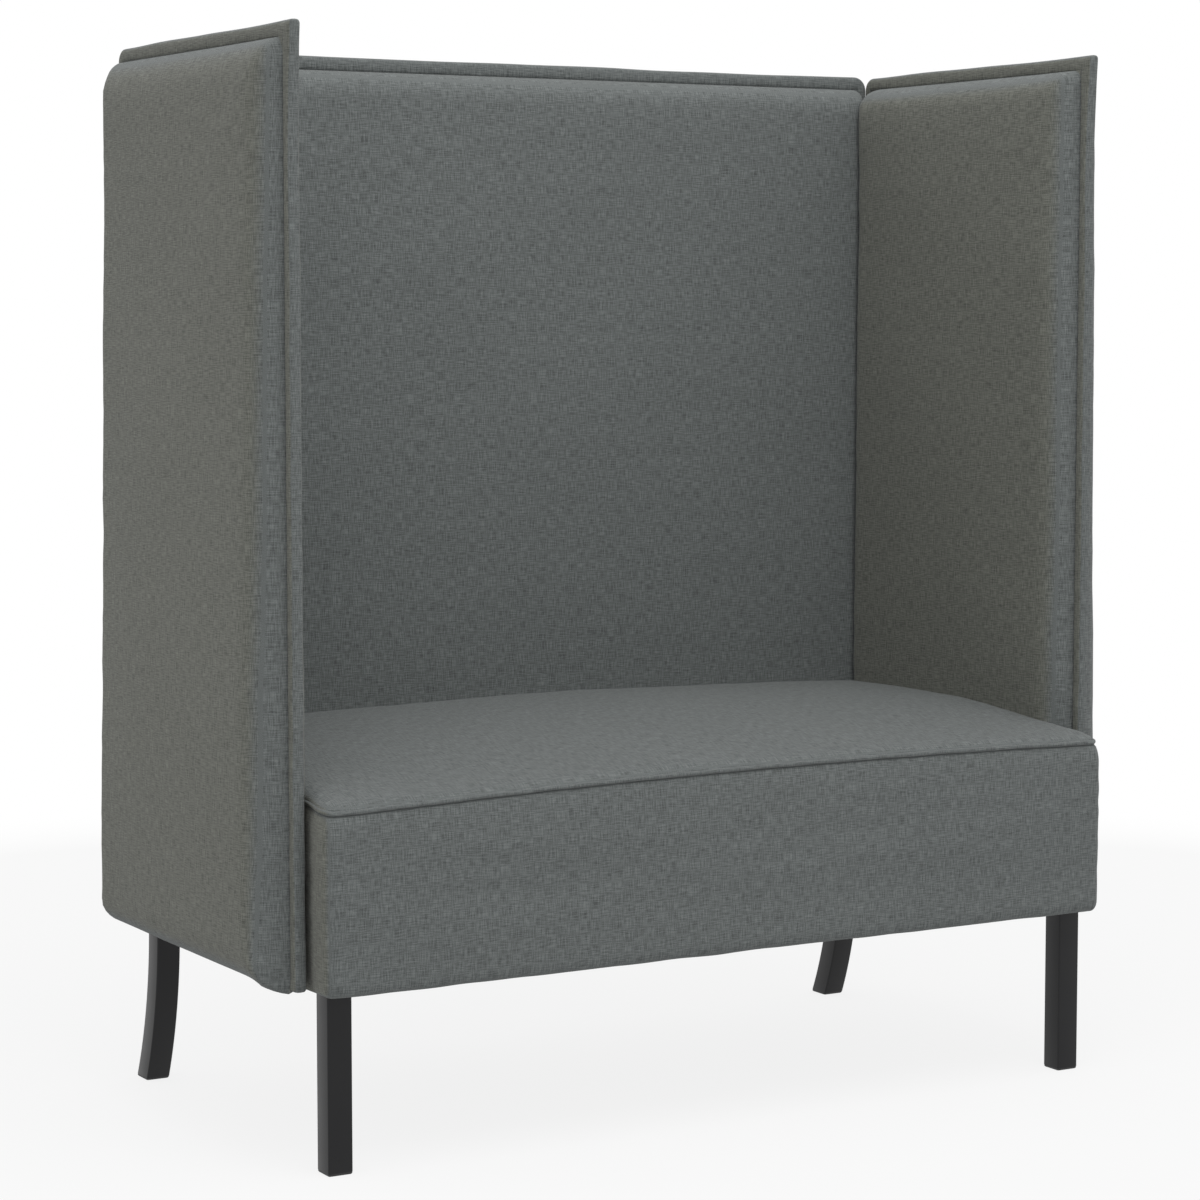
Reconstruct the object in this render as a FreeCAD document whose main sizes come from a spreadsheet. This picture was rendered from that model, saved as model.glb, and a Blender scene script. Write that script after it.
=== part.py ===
"""A two-seat high-back sofa: a sprung bench seat between three tall padded panels, on four legs.

Millimetres, +Z up. The front faces -Y and X runs along the seat. The origin is on the floor, in the
middle of the outline. The sizes are in the sheet, and a formula here is text in the names of its cells.
"""
import FreeCAD, Part
import Sketcher
import math
import os
import re

# Driving dimensions
SIZES = {
    # whole sofa
    "panel_top": 1350,           # floor to the top edge of the panels
    "seat_underside": 220,       # floor to the underside of the seat frame
    "seat_width": 1126,          # over the seat boxing, side to side
    "seat_depth": 556,           # over the seat boxing, front to rear
    "cover": 1.5,                # covering fabric with its lining
    # seat frame
    "rail_thickness": 22,
    "rail_height": 120,
    "stretcher_width": 44,
    "stretcher_height": 60,
    "block_leg": 130,            # each short side of a corner block
    "block_height": 60,
    "fascia_padding": 10,        # wadding in front of the front rail
    "dust_cover": 1,
    # springs
    "spring_wire": 3.8,
    "spring_run": 46,            # straight part of one run of the zigzag
    "spring_margin": 121.5,      # side of the frame to the middle of the first spring
    "clip_strip": 1.5,
    "clip_length": 30,
    "clip_depth": 14,
    "clip_clearance": 0.1,
    "insulator": 6,
    # seat upholstery
    "welt_height": 229,          # underside to the welt, in the middle of the front
    "front_arch": 10,            # how far the welt falls towards the front corners
    "rear_rise": 39,             # welt to the top cover at the rear, in the middle
    "crown": 19,                 # rise of the top over a straight line from front to rear
    "side_fall": 14,             # how far the top falls towards its sides
    "corner_round": 12,          # upright front corners of the boxing
    "welt": 6,
    "welt_clearance": 0.2,
    # legs
    "leg": 32,                   # side of the square tube
    "leg_wall": 2,
    "leg_side_inset": 7,         # outer face of a leg inside the boxing
    "leg_front_inset": 31,       # front face of a front leg behind the boxing
    "rear_leg_lap": 8,           # how far a rear leg reaches under the seat
    "rear_leg_sweep": 44,        # how far a rear foot stands behind its top
    "plate_thickness": 4,
    "plate_width": 80,
    "front_plate_depth": 80,
    "rear_plate_depth": 106,
    "plate_round": 6,
    "plate_hole_edge": 14,       # screw to the plate's edge
    "plate_hole_spacing": 34,
    "screw_shank": 4.5,
    "screw_length": 36,
    "screw_head": 9,
    "screw_head_height": 3,
    "screw_clearance": 0.1,
    "glide_foot": 3,
    "glide_plug": 18,
    "glide_clearance": 0.3,
    # panels
    "panel_gap": 6,              # seat boxing to the board of the back panel
    "side_gap": 9.5,             # seat boxing to the board of a side panel
    "board_thickness": 12,
    "border_wrap": 2,            # covered wadding of the border on each side of a board
    "border_round": 6,
    "flange_edge": 14,           # upright edge to its seam
    "flange_top": 17,            # top edge to its seam
    "panel_setback": 56,         # front edge of a side panel behind the boxing
    "rear_reveal": 3,            # rear edge of a side panel before the rear of the back panel
    "panel_lift": 2,             # lower edge of the panels over the underside of the seat
    "panel_corner": 18,          # rounded upper corners
    "back_gap": 5.5,             # border of the back panel to the border of a side panel
    "outer_pad_top": 33,
    "outer_pad_low": 52,
    "inner_pad": 43.5,
    "back_pad": 34,
    "rear_pad": 32,
    "pad_edge": 34,              # width of a pad's rounded edge
    "outer_pad_edge": 24,        # the same on the outside of a side panel
    "pad_corner": 22,
    "pad_lip": 5,                # thickness of a pad at its seam
    "pad_fall": 5,               # how far a pad falls from its middle to its rounded edge
    "pad_clearance": 0.5,
    # panel fixing
    "bolt": 8,
    "bolt_head": 14,
    "bolt_head_height": 5,
    "bolt_short": 2,             # tip of a bolt inside the outer face of the board
    "bolt_clearance": 0.2,
    "bolt_height": 90,           # over the underside of the seat
    "side_bolt_start": 130,      # first bolt behind the boxing
    "side_bolt_spacing": 150,
    "back_bolt_margin": 143,     # side of the seat to the first bolt of the back panel
    "spacer": 24,
    "tee_flange": 20,
    "tee_flange_thickness": 1.6,
    "tee_barrel": 10,
    "tee_length": 9,
    "tee_clearance": 0.1,
    "link_screw": 7,
    "link_length": 50,
    "link_head": 10,
    "link_head_height": 4,
    "link_start": 640,           # lowest long screw over the floor
    "link_spacing": 280,
    "link_clearance": 0.1,
}

# Counts
SPRINGS = 6
SPRING_RUNS = 20
SIDE_BOLTS = 3
BACK_BOLTS = 4
LINK_SCREWS = 3

doc = FreeCAD.newDocument("high_back_sofa")
sheet = doc.addObject("Spreadsheet::Sheet", "Sizes")
for row, (alias, number) in enumerate(SIZES.items(), start=1):
    sheet.set(f"A{row}", alias)
    sheet.set(f"B{row}", str(number))
    sheet.setAlias(f"B{row}", alias)
doc.recompute()

pieces = []


def value(formula):
    """The number that a formula gives."""
    return float(sheet.evalExpression(str(formula)))


def bind(thing, prop, formula):
    """Makes a property follow the sheet."""
    def cell(word):
        return "Sizes." + word[0] if word[0] in SIZES else word[0]
    thing.setExpression(prop, re.sub(r"[a-z_]+", cell, str(formula)))


def place(thing, x, y, z):
    """Puts a piece's own origin at a place given by three formulas."""
    for axis, formula in zip("xyz", (x, y, z)):
        bind(thing, f"Placement.Base.{axis}", formula)
    return thing


def piece(thing):
    """Marks a finished sub-part, whose name is its node's name."""
    pieces.append(thing)
    return thing


def slab(name, x, y, z):
    """A rectangular block between pairs of formulas, lowest first."""
    block = doc.addObject("Part::Box", name)
    for prop, (low, high) in zip(("Length", "Width", "Height"), (x, y, z)):
        bind(block, prop, f"({high}) - ({low})")
    return place(block, x[0], y[0], z[0])


def mirrored(side, low, high):
    """A stretch of X on the right, or its mirror on the left."""
    return (low, high) if side > 0 else (f"-({high})", f"-({low})")


# Turns that lay a cylinder, drawn along +Z, along another direction
TURNS = {
    "x": FreeCAD.Rotation(FreeCAD.Vector(0, 1, 0), 90),
    "-x": FreeCAD.Rotation(FreeCAD.Vector(0, 1, 0), -90),
    "y": FreeCAD.Rotation(FreeCAD.Vector(1, 0, 0), -90),
    "z": FreeCAD.Rotation(),
}


def along(axis, distance, across, height):
    """A place at a distance along an axis, as formulas of X, Y and Z."""
    return {
        "x": (distance, across, height),
        "-x": (f"-({distance})", across, height),
        "y": (across, distance, height),
    }[axis]


def rod(name, diameter, axis, start, length):
    """A round bar from a place, along an axis."""
    bar = doc.addObject("Part::Cylinder", name)
    bind(bar, "Radius", f"({diameter}) / 2")
    bind(bar, "Height", length)
    bar.Placement.Rotation = TURNS[axis]
    return place(bar, *start)


def fused(name, *things):
    joined = doc.addObject("Part::MultiFuse", name)
    joined.Shapes = things
    return joined


def group(name, things):
    """Separate solids that share one node or one cut."""
    together = doc.addObject("Part::Compound", name)
    together.Links = things
    return together


def cut(name, base, tool):
    remainder = doc.addObject("Part::Cut", name)
    remainder.Base = base
    remainder.Tool = tool
    return remainder


def common(name, base, tool):
    shared = doc.addObject("Part::Common", name)
    shared.Base = base
    shared.Tool = tool
    return shared


def feature(name, shape):
    solid = doc.addObject("Part::Feature", name)
    solid.Shape = shape
    return solid


def sketch_in(body, role, name):
    """A sketch on one of a body's own planes."""
    sketch = body.newObject("Sketcher::SketchObject", name)
    plane = next(item for item in body.Origin.OriginFeatures if item.Role == role)
    sketch.AttachmentSupport = [(plane, "")]
    sketch.MapMode = "FlatFace"
    return sketch


def pad(body, sketch, length, name):
    extrusion = body.newObject("PartDesign::Pad", name)
    extrusion.Profile = sketch
    bind(extrusion, "Length", length)
    return extrusion


def hold(sketch, kind, item, end, formula):
    """Fixes one coordinate of a sketch's point by a formula."""
    rule = Sketcher.Constraint(kind, -1, 1, item, end, value(formula))
    bind(sketch, f"Constraints[{sketch.addConstraint(rule)}]", formula)


def hold_point(sketch, item, end, place_of_point):
    for kind, formula in zip(("DistanceX", "DistanceY"), place_of_point):
        hold(sketch, kind, item, end, formula)


def vector(x, y):
    return FreeCAD.Vector(value(x), value(y), 0)


def line(sketch, start, end):
    """A line between two places, with both ends held there."""
    item = sketch.addGeometry(Part.LineSegment(vector(*start), vector(*end)))
    hold_point(sketch, item, 1, start)
    hold_point(sketch, item, 2, end)
    return item


def arc(sketch, centre, start, end, first, last):
    """An arc, anticlockwise from the end of line first to the start of line last."""
    middle = vector(*centre)
    spokes = [vector(*point) - middle for point in (start, end)]
    angles = [math.atan2(spoke.y, spoke.x) for spoke in spokes]
    circle = Part.Circle(middle, FreeCAD.Vector(0, 0, 1), spokes[0].Length)
    item = sketch.addGeometry(Part.ArcOfCircle(circle, *angles))
    sketch.addConstraint(Sketcher.Constraint("Coincident", item, 1, *first))
    sketch.addConstraint(Sketcher.Constraint("Coincident", item, 2, *last))
    hold(sketch, "DistanceX", item, 3, centre[0])


def rectangle(sketch, x, y, rounding=None, rounded=()):
    """An upright rectangle between pairs of formulas. Corners count anticlockwise from the lowest."""
    corners = [(x[0], y[0]), (x[1], y[0]), (x[1], y[1]), (x[0], y[1])]
    ways = [(1, 0), (0, 1), (-1, 0), (0, -1)]

    def step(corner, way, sign):
        return tuple(f"({at}) + ({sign * by}) * ({rounding})" for at, by in zip(corner, way))

    lines = []
    for n, corner in enumerate(corners):
        following = (n + 1) % 4
        start = step(corner, ways[n], 1) if n in rounded else corner
        end = step(corners[following], ways[n], -1) if following in rounded else corners[following]
        lines.append((line(sketch, start, end), start, end))
    for n in rounded:
        before, after = lines[n - 1], lines[n]
        centre = step(after[1], ways[n - 1], -1)
        arc(sketch, centre, before[2], after[1], (before[0], 2), (after[0], 1))


# Places that several pieces share
SIDES = (("left", -1), ("right", 1))
HALF = "(seat_width / 2)"
TUBE_TOP = "(seat_underside - plate_thickness)"
SWEEP_RADIUS = f"(({TUBE_TOP} ^ 2 + rear_leg_sweep ^ 2) / (2 * rear_leg_sweep))"
HEEL = f"(seat_depth - rear_leg_lap + {SWEEP_RADIUS} - sqrt(({SWEEP_RADIUS} - leg) ^ 2 - {TUBE_TOP} ^ 2))"
FRONT = f"((welt / 2 - {HEEL}) / 2)"
REAR = f"({FRONT} + seat_depth)"
FRAME_FRONT = f"({FRONT} + cover + fascia_padding)"
FRAME_REAR = f"({REAR} - cover)"
FRAME_HALF = f"({HALF} - cover)"
FRAME_TOP = "(seat_underside + rail_height)"
CLIP_TOP = f"({FRAME_TOP} + 2 * clip_strip + spring_wire + 2 * clip_clearance)"
FOAM_BASE = f"({CLIP_TOP} + insulator)"
PANEL_BASE = "(seat_underside + panel_lift)"
BOARD_INNER = f"({HALF} + side_gap)"
BOARD_OUTER = f"({BOARD_INNER} + board_thickness)"
BACK_FRONT = f"({REAR} + panel_gap)"
BACK_REAR = f"({BACK_FRONT} + board_thickness)"
PANEL_FRONT = f"({FRONT} + panel_setback)"
PANEL_REAR = f"({BACK_REAR} + border_wrap - rear_reveal)"
BACK_HALF = f"({BOARD_INNER} - border_wrap - back_gap)"
BOLT_Z = "(seat_underside + bolt_height)"

# Where the panels are bolted to the seat: direction, distance of the boxing from the origin, place across
bolt_places = []
for name, side in SIDES:
    for n in range(SIDE_BOLTS):
        across = f"{FRONT} + side_bolt_start + {n} * side_bolt_spacing"
        bolt_places.append((name, "x" if side > 0 else "-x", HALF, across))
for n in range(BACK_BOLTS):
    across = f"({2 * n + 1 - BACK_BOLTS} / {BACK_BOLTS - 1}) * ({HALF} - back_bolt_margin)"
    bolt_places.append(("back", "y", REAR, across))

# Bolts, spacers, tee nuts and the holes that take them
bolts, spacers, tee_nuts = [], [], []
rail_holes = {"left": [], "right": [], "back": []}
board_holes = {"left": [], "right": [], "back": []}
for n, (panel, axis, boxing, across) in enumerate(bolt_places):
    gap = "panel_gap" if panel == "back" else "side_gap"
    inside = f"{boxing} - cover - rail_thickness"
    board_face = f"{boxing} + {gap}"
    outside = f"{board_face} + board_thickness"
    shank_length = f"rail_thickness + cover + {gap} + board_thickness - bolt_short"
    bore = "bolt + 2 * bolt_clearance"

    def at(distance):
        return along(axis, distance, across, BOLT_Z)

    head = rod(f"bolt_head_{n}", "bolt_head", axis, at(f"{inside} - bolt_head_height"), "bolt_head_height")
    shank = rod(f"bolt_shank_{n}", "bolt", axis, at(inside), shank_length)
    bolts.append(fused(f"bolt_{n}", head, shank))
    rail_holes[panel].append(rod(f"rail_hole_{n}", bore, axis, at(inside), "rail_thickness + cover"))

    ring = rod(f"spacer_ring_{n}", "spacer", axis, at(boxing), gap)
    spacers.append(cut(f"spacer_{n}", ring, rod(f"spacer_bore_{n}", bore, axis, at(boxing), gap)))

    flange_face = f"{outside} - tee_flange_thickness"
    barrel_length = "tee_length + tee_flange_thickness"
    barrel_start = at(f"{flange_face} - tee_length")
    flange = rod(f"tee_flange_{n}", "tee_flange", axis, at(flange_face), "tee_flange_thickness")
    barrel = rod(f"tee_barrel_{n}", "tee_barrel", axis, barrel_start, barrel_length)
    thread = rod(f"tee_thread_{n}", bore, axis, barrel_start, barrel_length)
    tee_nuts.append(cut(f"tee_nut_{n}", fused(f"tee_blank_{n}", flange, barrel), thread))
    recess_size = "tee_flange + 2 * tee_clearance"
    recess = rod(f"tee_recess_{n}", recess_size, axis, at(flange_face), "tee_flange_thickness")
    hole = rod(f"board_hole_{n}", "tee_barrel + 2 * tee_clearance", axis, at(board_face), "board_thickness")
    board_holes[panel].append(fused(f"tee_hole_{n}", recess, hole))

piece(group("panel_bolts", bolts))
piece(group("panel_spacers", spacers))
piece(group("panel_tee_nuts", tee_nuts))

# Long screws through the side boards into the ends of the back board
link_screws = []
link_holes = []
for name, side in SIDES:
    axis = "-x" if side > 0 else "x"
    outer = f"{side} * {BOARD_OUTER}"
    neck = f"{side} * ({BOARD_OUTER} - link_head_height)"
    depth = f"{BACK_FRONT} + board_thickness / 2"
    for n in range(LINK_SCREWS):
        height = f"link_start + {n} * link_spacing"
        tag = f"{name}_{n}"
        shank_length = "link_length - link_head_height"
        head = rod(f"link_head_{tag}", "link_head", axis, (outer, depth, height), "link_head_height")
        shank = rod(f"link_shank_{tag}", "link_screw", axis, (neck, depth, height), shank_length)
        link_screws.append(fused(f"link_{tag}", head, shank))
        wide = "link_head + 2 * link_clearance"
        narrow = "link_screw + 2 * link_clearance"
        sink = rod(f"link_sink_{tag}", wide, axis, (outer, depth, height), "link_head_height")
        hole = rod(f"link_hole_{tag}", narrow, axis, (neck, depth, height), shank_length)
        link_holes.append(fused(f"link_bore_{tag}", sink, hole))
piece(group("panel_link_screws", link_screws))
link_bores = group("link_bores", link_holes)

# Seat frame: four rails on edge, butted at the corners, and a stretcher across the middle
frame_x = (f"-{FRAME_HALF}", FRAME_HALF)
frame_z = ("seat_underside", FRAME_TOP)
inner_y = (f"{FRAME_FRONT} + rail_thickness", f"{FRAME_REAR} - rail_thickness")
piece(slab("seat_front_rail", frame_x, (FRAME_FRONT, inner_y[0]), frame_z))
rear_rail = slab("rear_rail_blank", frame_x, (inner_y[1], FRAME_REAR), frame_z)
piece(cut("seat_rear_rail", rear_rail, group("rear_rail_holes", rail_holes["back"])))
for name, side in SIDES:
    rail_x = mirrored(side, f"{FRAME_HALF} - rail_thickness", FRAME_HALF)
    rail = slab(f"{name}_rail_blank", rail_x, inner_y, frame_z)
    piece(cut(f"seat_{name}_rail", rail, group(f"{name}_rail_holes", rail_holes[name])))
stretcher_z = ("seat_underside", "seat_underside + stretcher_height")
piece(slab("seat_centre_stretcher", ("-stretcher_width / 2", "stretcher_width / 2"), inner_y, stretcher_z))


# Legs
def leg_outline(sketch, swept, low, high, inset):
    """Side view of a leg between two heights, drawn in by an inset. Its front face starts at zero."""
    if not swept:
        rectangle(sketch, (inset, f"leg - ({inset})"), (low, high))
        return

    radii = (f"({SWEEP_RADIUS} - ({inset}))", f"({SWEEP_RADIUS} - leg + ({inset}))")

    def face(radius, height):
        return (f"{SWEEP_RADIUS} - sqrt({radius} ^ 2 - ({TUBE_TOP} - ({height})) ^ 2)", height)

    front_low, rear_low = (face(radius, low) for radius in radii)
    front_high, rear_high = (face(radius, high) for radius in radii)
    foot = line(sketch, front_low, rear_low)
    top = line(sketch, rear_high, front_high)
    centre = (SWEEP_RADIUS, TUBE_TOP)
    arc(sketch, centre, front_high, front_low, (top, 2), (foot, 1))
    arc(sketch, centre, rear_high, rear_low, (top, 1), (foot, 2))


corner_blocks = {("front", "left"): 0, ("front", "right"): 90, ("rear", "right"): 180, ("rear", "left"): 270}
plate_screws = []
for (end, name), turn in corner_blocks.items():
    side = dict(SIDES)[name]
    swept = end == "rear"
    tag = f"{end}_{name}"
    leg_low, leg_high = mirrored(side, f"{HALF} - leg_side_inset - leg", f"{HALF} - leg_side_inset")
    leg_y = f"{REAR} - rear_leg_lap" if swept else f"{FRONT} + leg_front_inset"

    # square tube, closed by its plate above and by its glide below
    tube = doc.addObject("PartDesign::Body", f"{tag}_leg")
    outside = sketch_in(tube, "YZ_Plane", f"{tag}_leg_outside")
    leg_outline(outside, swept, "glide_foot", TUBE_TOP, "0")
    pad(tube, outside, "leg", f"{tag}_leg_bar")
    inside = sketch_in(tube, "YZ_Plane", f"{tag}_leg_inside")
    bind(inside, "AttachmentOffset.Base.z", "leg_wall")
    leg_outline(inside, swept, "glide_foot", TUBE_TOP, "leg_wall")
    hollow = tube.newObject("PartDesign::Pocket", f"{tag}_leg_hollow")
    hollow.Profile = inside
    hollow.Reversed = True
    bind(hollow, "Length", "leg - 2 * leg_wall")
    piece(place(tube, leg_low, leg_y, "0"))

    # glide: a foot as wide as the tube and a plug inside it
    glide = doc.addObject("PartDesign::Body", f"{tag}_glide")
    foot = sketch_in(glide, "YZ_Plane", f"{tag}_glide_foot")
    leg_outline(foot, swept, "0", "glide_foot", "0")
    pad(glide, foot, "leg", f"{tag}_glide_sole")
    plug_inset = "leg_wall + glide_clearance"
    plug = sketch_in(glide, "YZ_Plane", f"{tag}_glide_plug")
    bind(plug, "AttachmentOffset.Base.z", plug_inset)
    leg_outline(plug, swept, "glide_foot", "glide_foot + glide_plug", plug_inset)
    pad(glide, plug, f"leg - 2 * ({plug_inset})", f"{tag}_glide_stem")
    piece(place(glide, leg_low, leg_y, "0"))

    # screws stand where plate and corner block overlap, clear of the tube
    plate_x = mirrored(side, f"{HALF} - leg_side_inset - plate_width", f"{HALF} - leg_side_inset")
    near_x = f"{side} * ({HALF} - leg_side_inset - plate_width + plate_hole_edge)"
    far_x = f"{near_x} + {side} * plate_hole_spacing"
    if swept:
        plate_y = (f"{leg_y} + leg - rear_plate_depth", f"{leg_y} + leg")
        first_y = f"{plate_y[0]} + plate_hole_edge"
        second_y = f"{first_y} + plate_hole_spacing"
    else:
        plate_y = (leg_y, f"{leg_y} + front_plate_depth")
        first_y = f"{plate_y[1]} - plate_hole_edge"
        second_y = f"{first_y} - plate_hole_spacing"
    screw_places = [(near_x, first_y), (far_x, first_y), (near_x, second_y)]
    holes = []
    for n, (x, y) in enumerate(screw_places):
        under = f"{TUBE_TOP} - screw_head_height"
        head = rod(f"{tag}_screw_head_{n}", "screw_head", "z", (x, y, under), "screw_head_height")
        shank = rod(f"{tag}_screw_shank_{n}", "screw_shank", "z", (x, y, TUBE_TOP), "screw_length")
        plate_screws.append(fused(f"{tag}_screw_{n}", head, shank))
        bore = "screw_shank + 2 * screw_clearance"
        holes.append(rod(f"{tag}_screw_hole_{n}", bore, "z", (x, y, TUBE_TOP), "screw_length"))
    screw_bores = group(f"{tag}_screw_bores", holes)

    # steel plate welded to the tube
    plate = doc.addObject("PartDesign::Body", f"{tag}_plate_blank")
    face = sketch_in(plate, "XY_Plane", f"{tag}_plate_face")
    plate_size = [(f"({high}) - ({low})") for low, high in (plate_x, plate_y)]
    rectangle(face, ("0", plate_size[0]), ("0", plate_size[1]), "plate_round", (0, 1, 2, 3))
    pad(plate, face, "plate_thickness", f"{tag}_plate_sheet")
    place(plate, plate_x[0], plate_y[0], TUBE_TOP)
    piece(cut(f"{tag}_leg_plate", plate, screw_bores))

    # three-cornered wooden block glued into the frame's corner
    block = doc.addObject("PartDesign::Body", f"{tag}_block_blank")
    triangle = sketch_in(block, "XY_Plane", f"{tag}_block_face")
    corners = [("0", "0"), ("block_leg", "0"), ("0", "block_leg")]
    for n, corner in enumerate(corners):
        line(triangle, corner, corners[(n + 1) % 3])
    pad(block, triangle, "block_height", f"{tag}_block_wood")
    block.Placement.Rotation = FreeCAD.Rotation(FreeCAD.Vector(0, 0, 1), turn)
    place(block, f"{side} * ({FRAME_HALF} - rail_thickness)", inner_y[1 if swept else 0], "seat_underside")
    piece(cut(f"{tag}_corner_block", block, screw_bores))
piece(group("leg_plate_screws", plate_screws))

# Dust cover: black cloth stapled under the frame, cut out round the leg plates
sheet_z = ("seat_underside - dust_cover", "seat_underside")
cloth = slab("dust_cloth", frame_x, (FRAME_FRONT, FRAME_REAR), sheet_z)
notch = f"{HALF} - leg_side_inset - plate_width"
notches = []
for name, side in SIDES:
    notch_x = mirrored(side, notch, FRAME_HALF)
    front_y = (FRAME_FRONT, f"{FRONT} + leg_front_inset + front_plate_depth")
    rear_y = (f"{REAR} - rear_leg_lap + leg - rear_plate_depth", FRAME_REAR)
    notches.append(slab(f"front_{name}_notch", notch_x, front_y, sheet_z))
    notches.append(slab(f"rear_{name}_notch", notch_x, rear_y, sheet_z))
piece(cut("seat_dust_cover", cloth, group("dust_cover_notches", notches)))


# Springs: one zigzag wire each, held by a clip on the front rail and one on the rear rail
def point(x, y, z):
    return FreeCAD.Vector(x, y, z)


def zigzag_spring():
    """One spring along Y, with its first run at the origin."""
    first = value(f"{FRAME_FRONT} + rail_thickness / 2")
    last = value(f"{FRAME_REAR} - rail_thickness / 2")
    step = (last - first) / (SPRING_RUNS - 1)
    half_run = value("spring_run / 2")
    edges = []
    for n in range(SPRING_RUNS):
        way = 1 if n % 2 == 0 else -1
        y = n * step
        end = point(way * half_run, y, 0)
        edges.append(Part.makeLine(point(-way * half_run, y, 0), end))
        if n < SPRING_RUNS - 1:
            bulge = point(way * (half_run + step / 2), y + step / 2, 0)
            edges.append(Part.Arc(end, bulge, point(way * half_run, y + step, 0)).toShape())
    start = point(-half_run, 0, 0)
    section = Part.Wire(Part.makeCircle(value("spring_wire / 2"), start, point(1, 0, 0)))
    return Part.Wire(edges).makePipeShell([section], True, False)


spring_shape = zigzag_spring()
spring_z = f"{FRAME_TOP} + clip_strip + clip_clearance + spring_wire / 2"
clip_gap_z = (f"{FRAME_TOP} + clip_strip", f"{CLIP_TOP} - clip_strip")
clips = []
for n in range(SPRINGS):
    x = f"({2 * n + 1 - SPRINGS} / {SPRINGS - 1}) * ({FRAME_HALF} - spring_margin)"
    clip_x = (f"{x} - clip_length / 2", f"{x} + clip_length / 2")
    spring = feature(f"seat_spring_{n + 1}", spring_shape.copy())
    piece(place(spring, x, f"{FRAME_FRONT} + rail_thickness / 2", spring_z))
    for end, middle, way in (
        ("front", f"{FRAME_FRONT} + rail_thickness / 2", 1),
        ("rear", f"{FRAME_REAR} - rail_thickness / 2", -1),
    ):
        clip_y = (f"{middle} - clip_depth / 2", f"{middle} + clip_depth / 2")
        back = "clip_depth / 2 - clip_strip"
        gap_y = (f"{middle} - ({back})", clip_y[1]) if way > 0 else (clip_y[0], f"{middle} + {back}")
        strip = slab(f"{end}_clip_strip_{n}", clip_x, clip_y, (FRAME_TOP, CLIP_TOP))
        gap = slab(f"{end}_clip_gap_{n}", clip_x, gap_y, clip_gap_z)
        clips.append(cut(f"{end}_clip_{n}", strip, gap))
piece(group("spring_clips", clips))
piece(slab("spring_insulator", frame_x, (FRAME_FRONT, FRAME_REAR), (CLIP_TOP, FOAM_BASE)))

# Wadding behind the fascia
fascia_y = (f"{FRONT} + cover", FRAME_FRONT)
piece(slab("front_rail_padding", frame_x, fascia_y, ("seat_underside", FOAM_BASE)))


# Seat cushion: a crowned block with upright sides
CROWN_MARGIN = 20    # the crown runs on past the sides that trim it
CROWN_STATIONS = (-1, -0.6, 0, 0.6, 1)


def prism(wire, way):
    return Part.Face(wire).extrude(way)


def seat_form(inset, base):
    """The seat's outer form, drawn in by an inset on every side but the lowest."""
    half, front, rear = value(HALF), value(FRONT), value(REAR)
    rounding = value("corner_round") - inset
    left, near, far = -half + inset, front + inset, rear - inset
    diagonal = rounding * (1 - math.sqrt(0.5))
    corner = [point(left, near + rounding, base), point(left + diagonal, near + diagonal, base),
              point(left + rounding, near, base)]
    mirror = [point(-spot.x, spot.y, base) for spot in reversed(corner)]
    outline = Part.Wire([
        Part.Arc(*corner).toShape(),
        Part.makeLine(corner[2], mirror[0]),
        Part.Arc(*mirror).toShape(),
        Part.makeLine(mirror[2], point(-left, far, base)),
        Part.makeLine(point(-left, far, base), point(left, far, base)),
        Part.makeLine(point(left, far, base), corner[0]),
    ])
    upright = prism(outline, point(0, 0, value("panel_top") - base))

    sections = []
    for station in CROWN_STATIONS:
        x = station * (half + CROWN_MARGIN)
        fall = value("side_fall") * station ** 2
        bottom = base - CROWN_MARGIN
        z_front = value("seat_underside + welt_height") - value("front_arch") * station ** 2 - inset
        z_rear = value("seat_underside + welt_height + rear_rise") - fall - inset
        z_middle = value("seat_underside + welt_height + rear_rise / 2 + crown") - fall - inset
        rise = (z_rear - z_front) / (rear - front)
        ends = [point(x, front - CROWN_MARGIN, z_front - 2 * rise * CROWN_MARGIN),
                point(x, (front + rear) / 2, z_middle),
                point(x, rear + CROWN_MARGIN, z_rear)]
        low_front = point(x, ends[0].y, bottom)
        low_rear = point(x, ends[2].y, bottom)
        sections.append(Part.Wire([
            Part.Arc(*ends).toShape(),
            Part.makeLine(ends[2], low_rear),
            Part.makeLine(low_rear, low_front),
            Part.makeLine(low_front, ends[0]),
        ]))
    return upright.common(Part.makeLoft(sections, True, False))


def welt_path():
    """Along the front edge, round both corners and back along the sides to the rear."""
    half, front, rear = value(HALF), value(FRONT), value(REAR)
    top = value("seat_underside + welt_height")
    low = top - value("front_arch")
    back = value("seat_underside + welt_height + rear_rise - side_fall")
    straight = 3 * value("corner_round")
    drop = (top - low) * (1 - (1 - straight / half) ** 2)
    shoulder = point(half - straight, front, low + drop)
    slope = 2 * (shoulder.z - top) / shoulder.x
    corner = point(half, front, shoulder.z + slope * straight)
    inward = (shoulder - corner).normalize()
    rearward = (point(half, rear, back) - corner).normalize()
    turn = value("corner_round")
    enter, leave = corner + inward * turn, corner + rearward * turn
    bisector = (inward + rearward).normalize()
    bend = corner + bisector * (turn * (math.sqrt(2) - 1))
    right = [
        Part.makeLine(shoulder, enter),
        Part.Arc(enter, bend, leave).toShape(),
        Part.makeLine(leave, point(half, rear, back)),
    ]

    def flip(spot):
        return point(-spot.x, spot.y, spot.z)

    left = [
        Part.makeLine(flip(point(half, rear, back)), flip(leave)),
        Part.Arc(flip(leave), flip(bend), flip(enter)).toShape(),
        Part.makeLine(flip(enter), flip(shoulder)),
    ]
    middle = Part.Arc(flip(shoulder), point(0, front, top), shoulder).toShape()
    return Part.Wire(left + [middle] + right)


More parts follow.
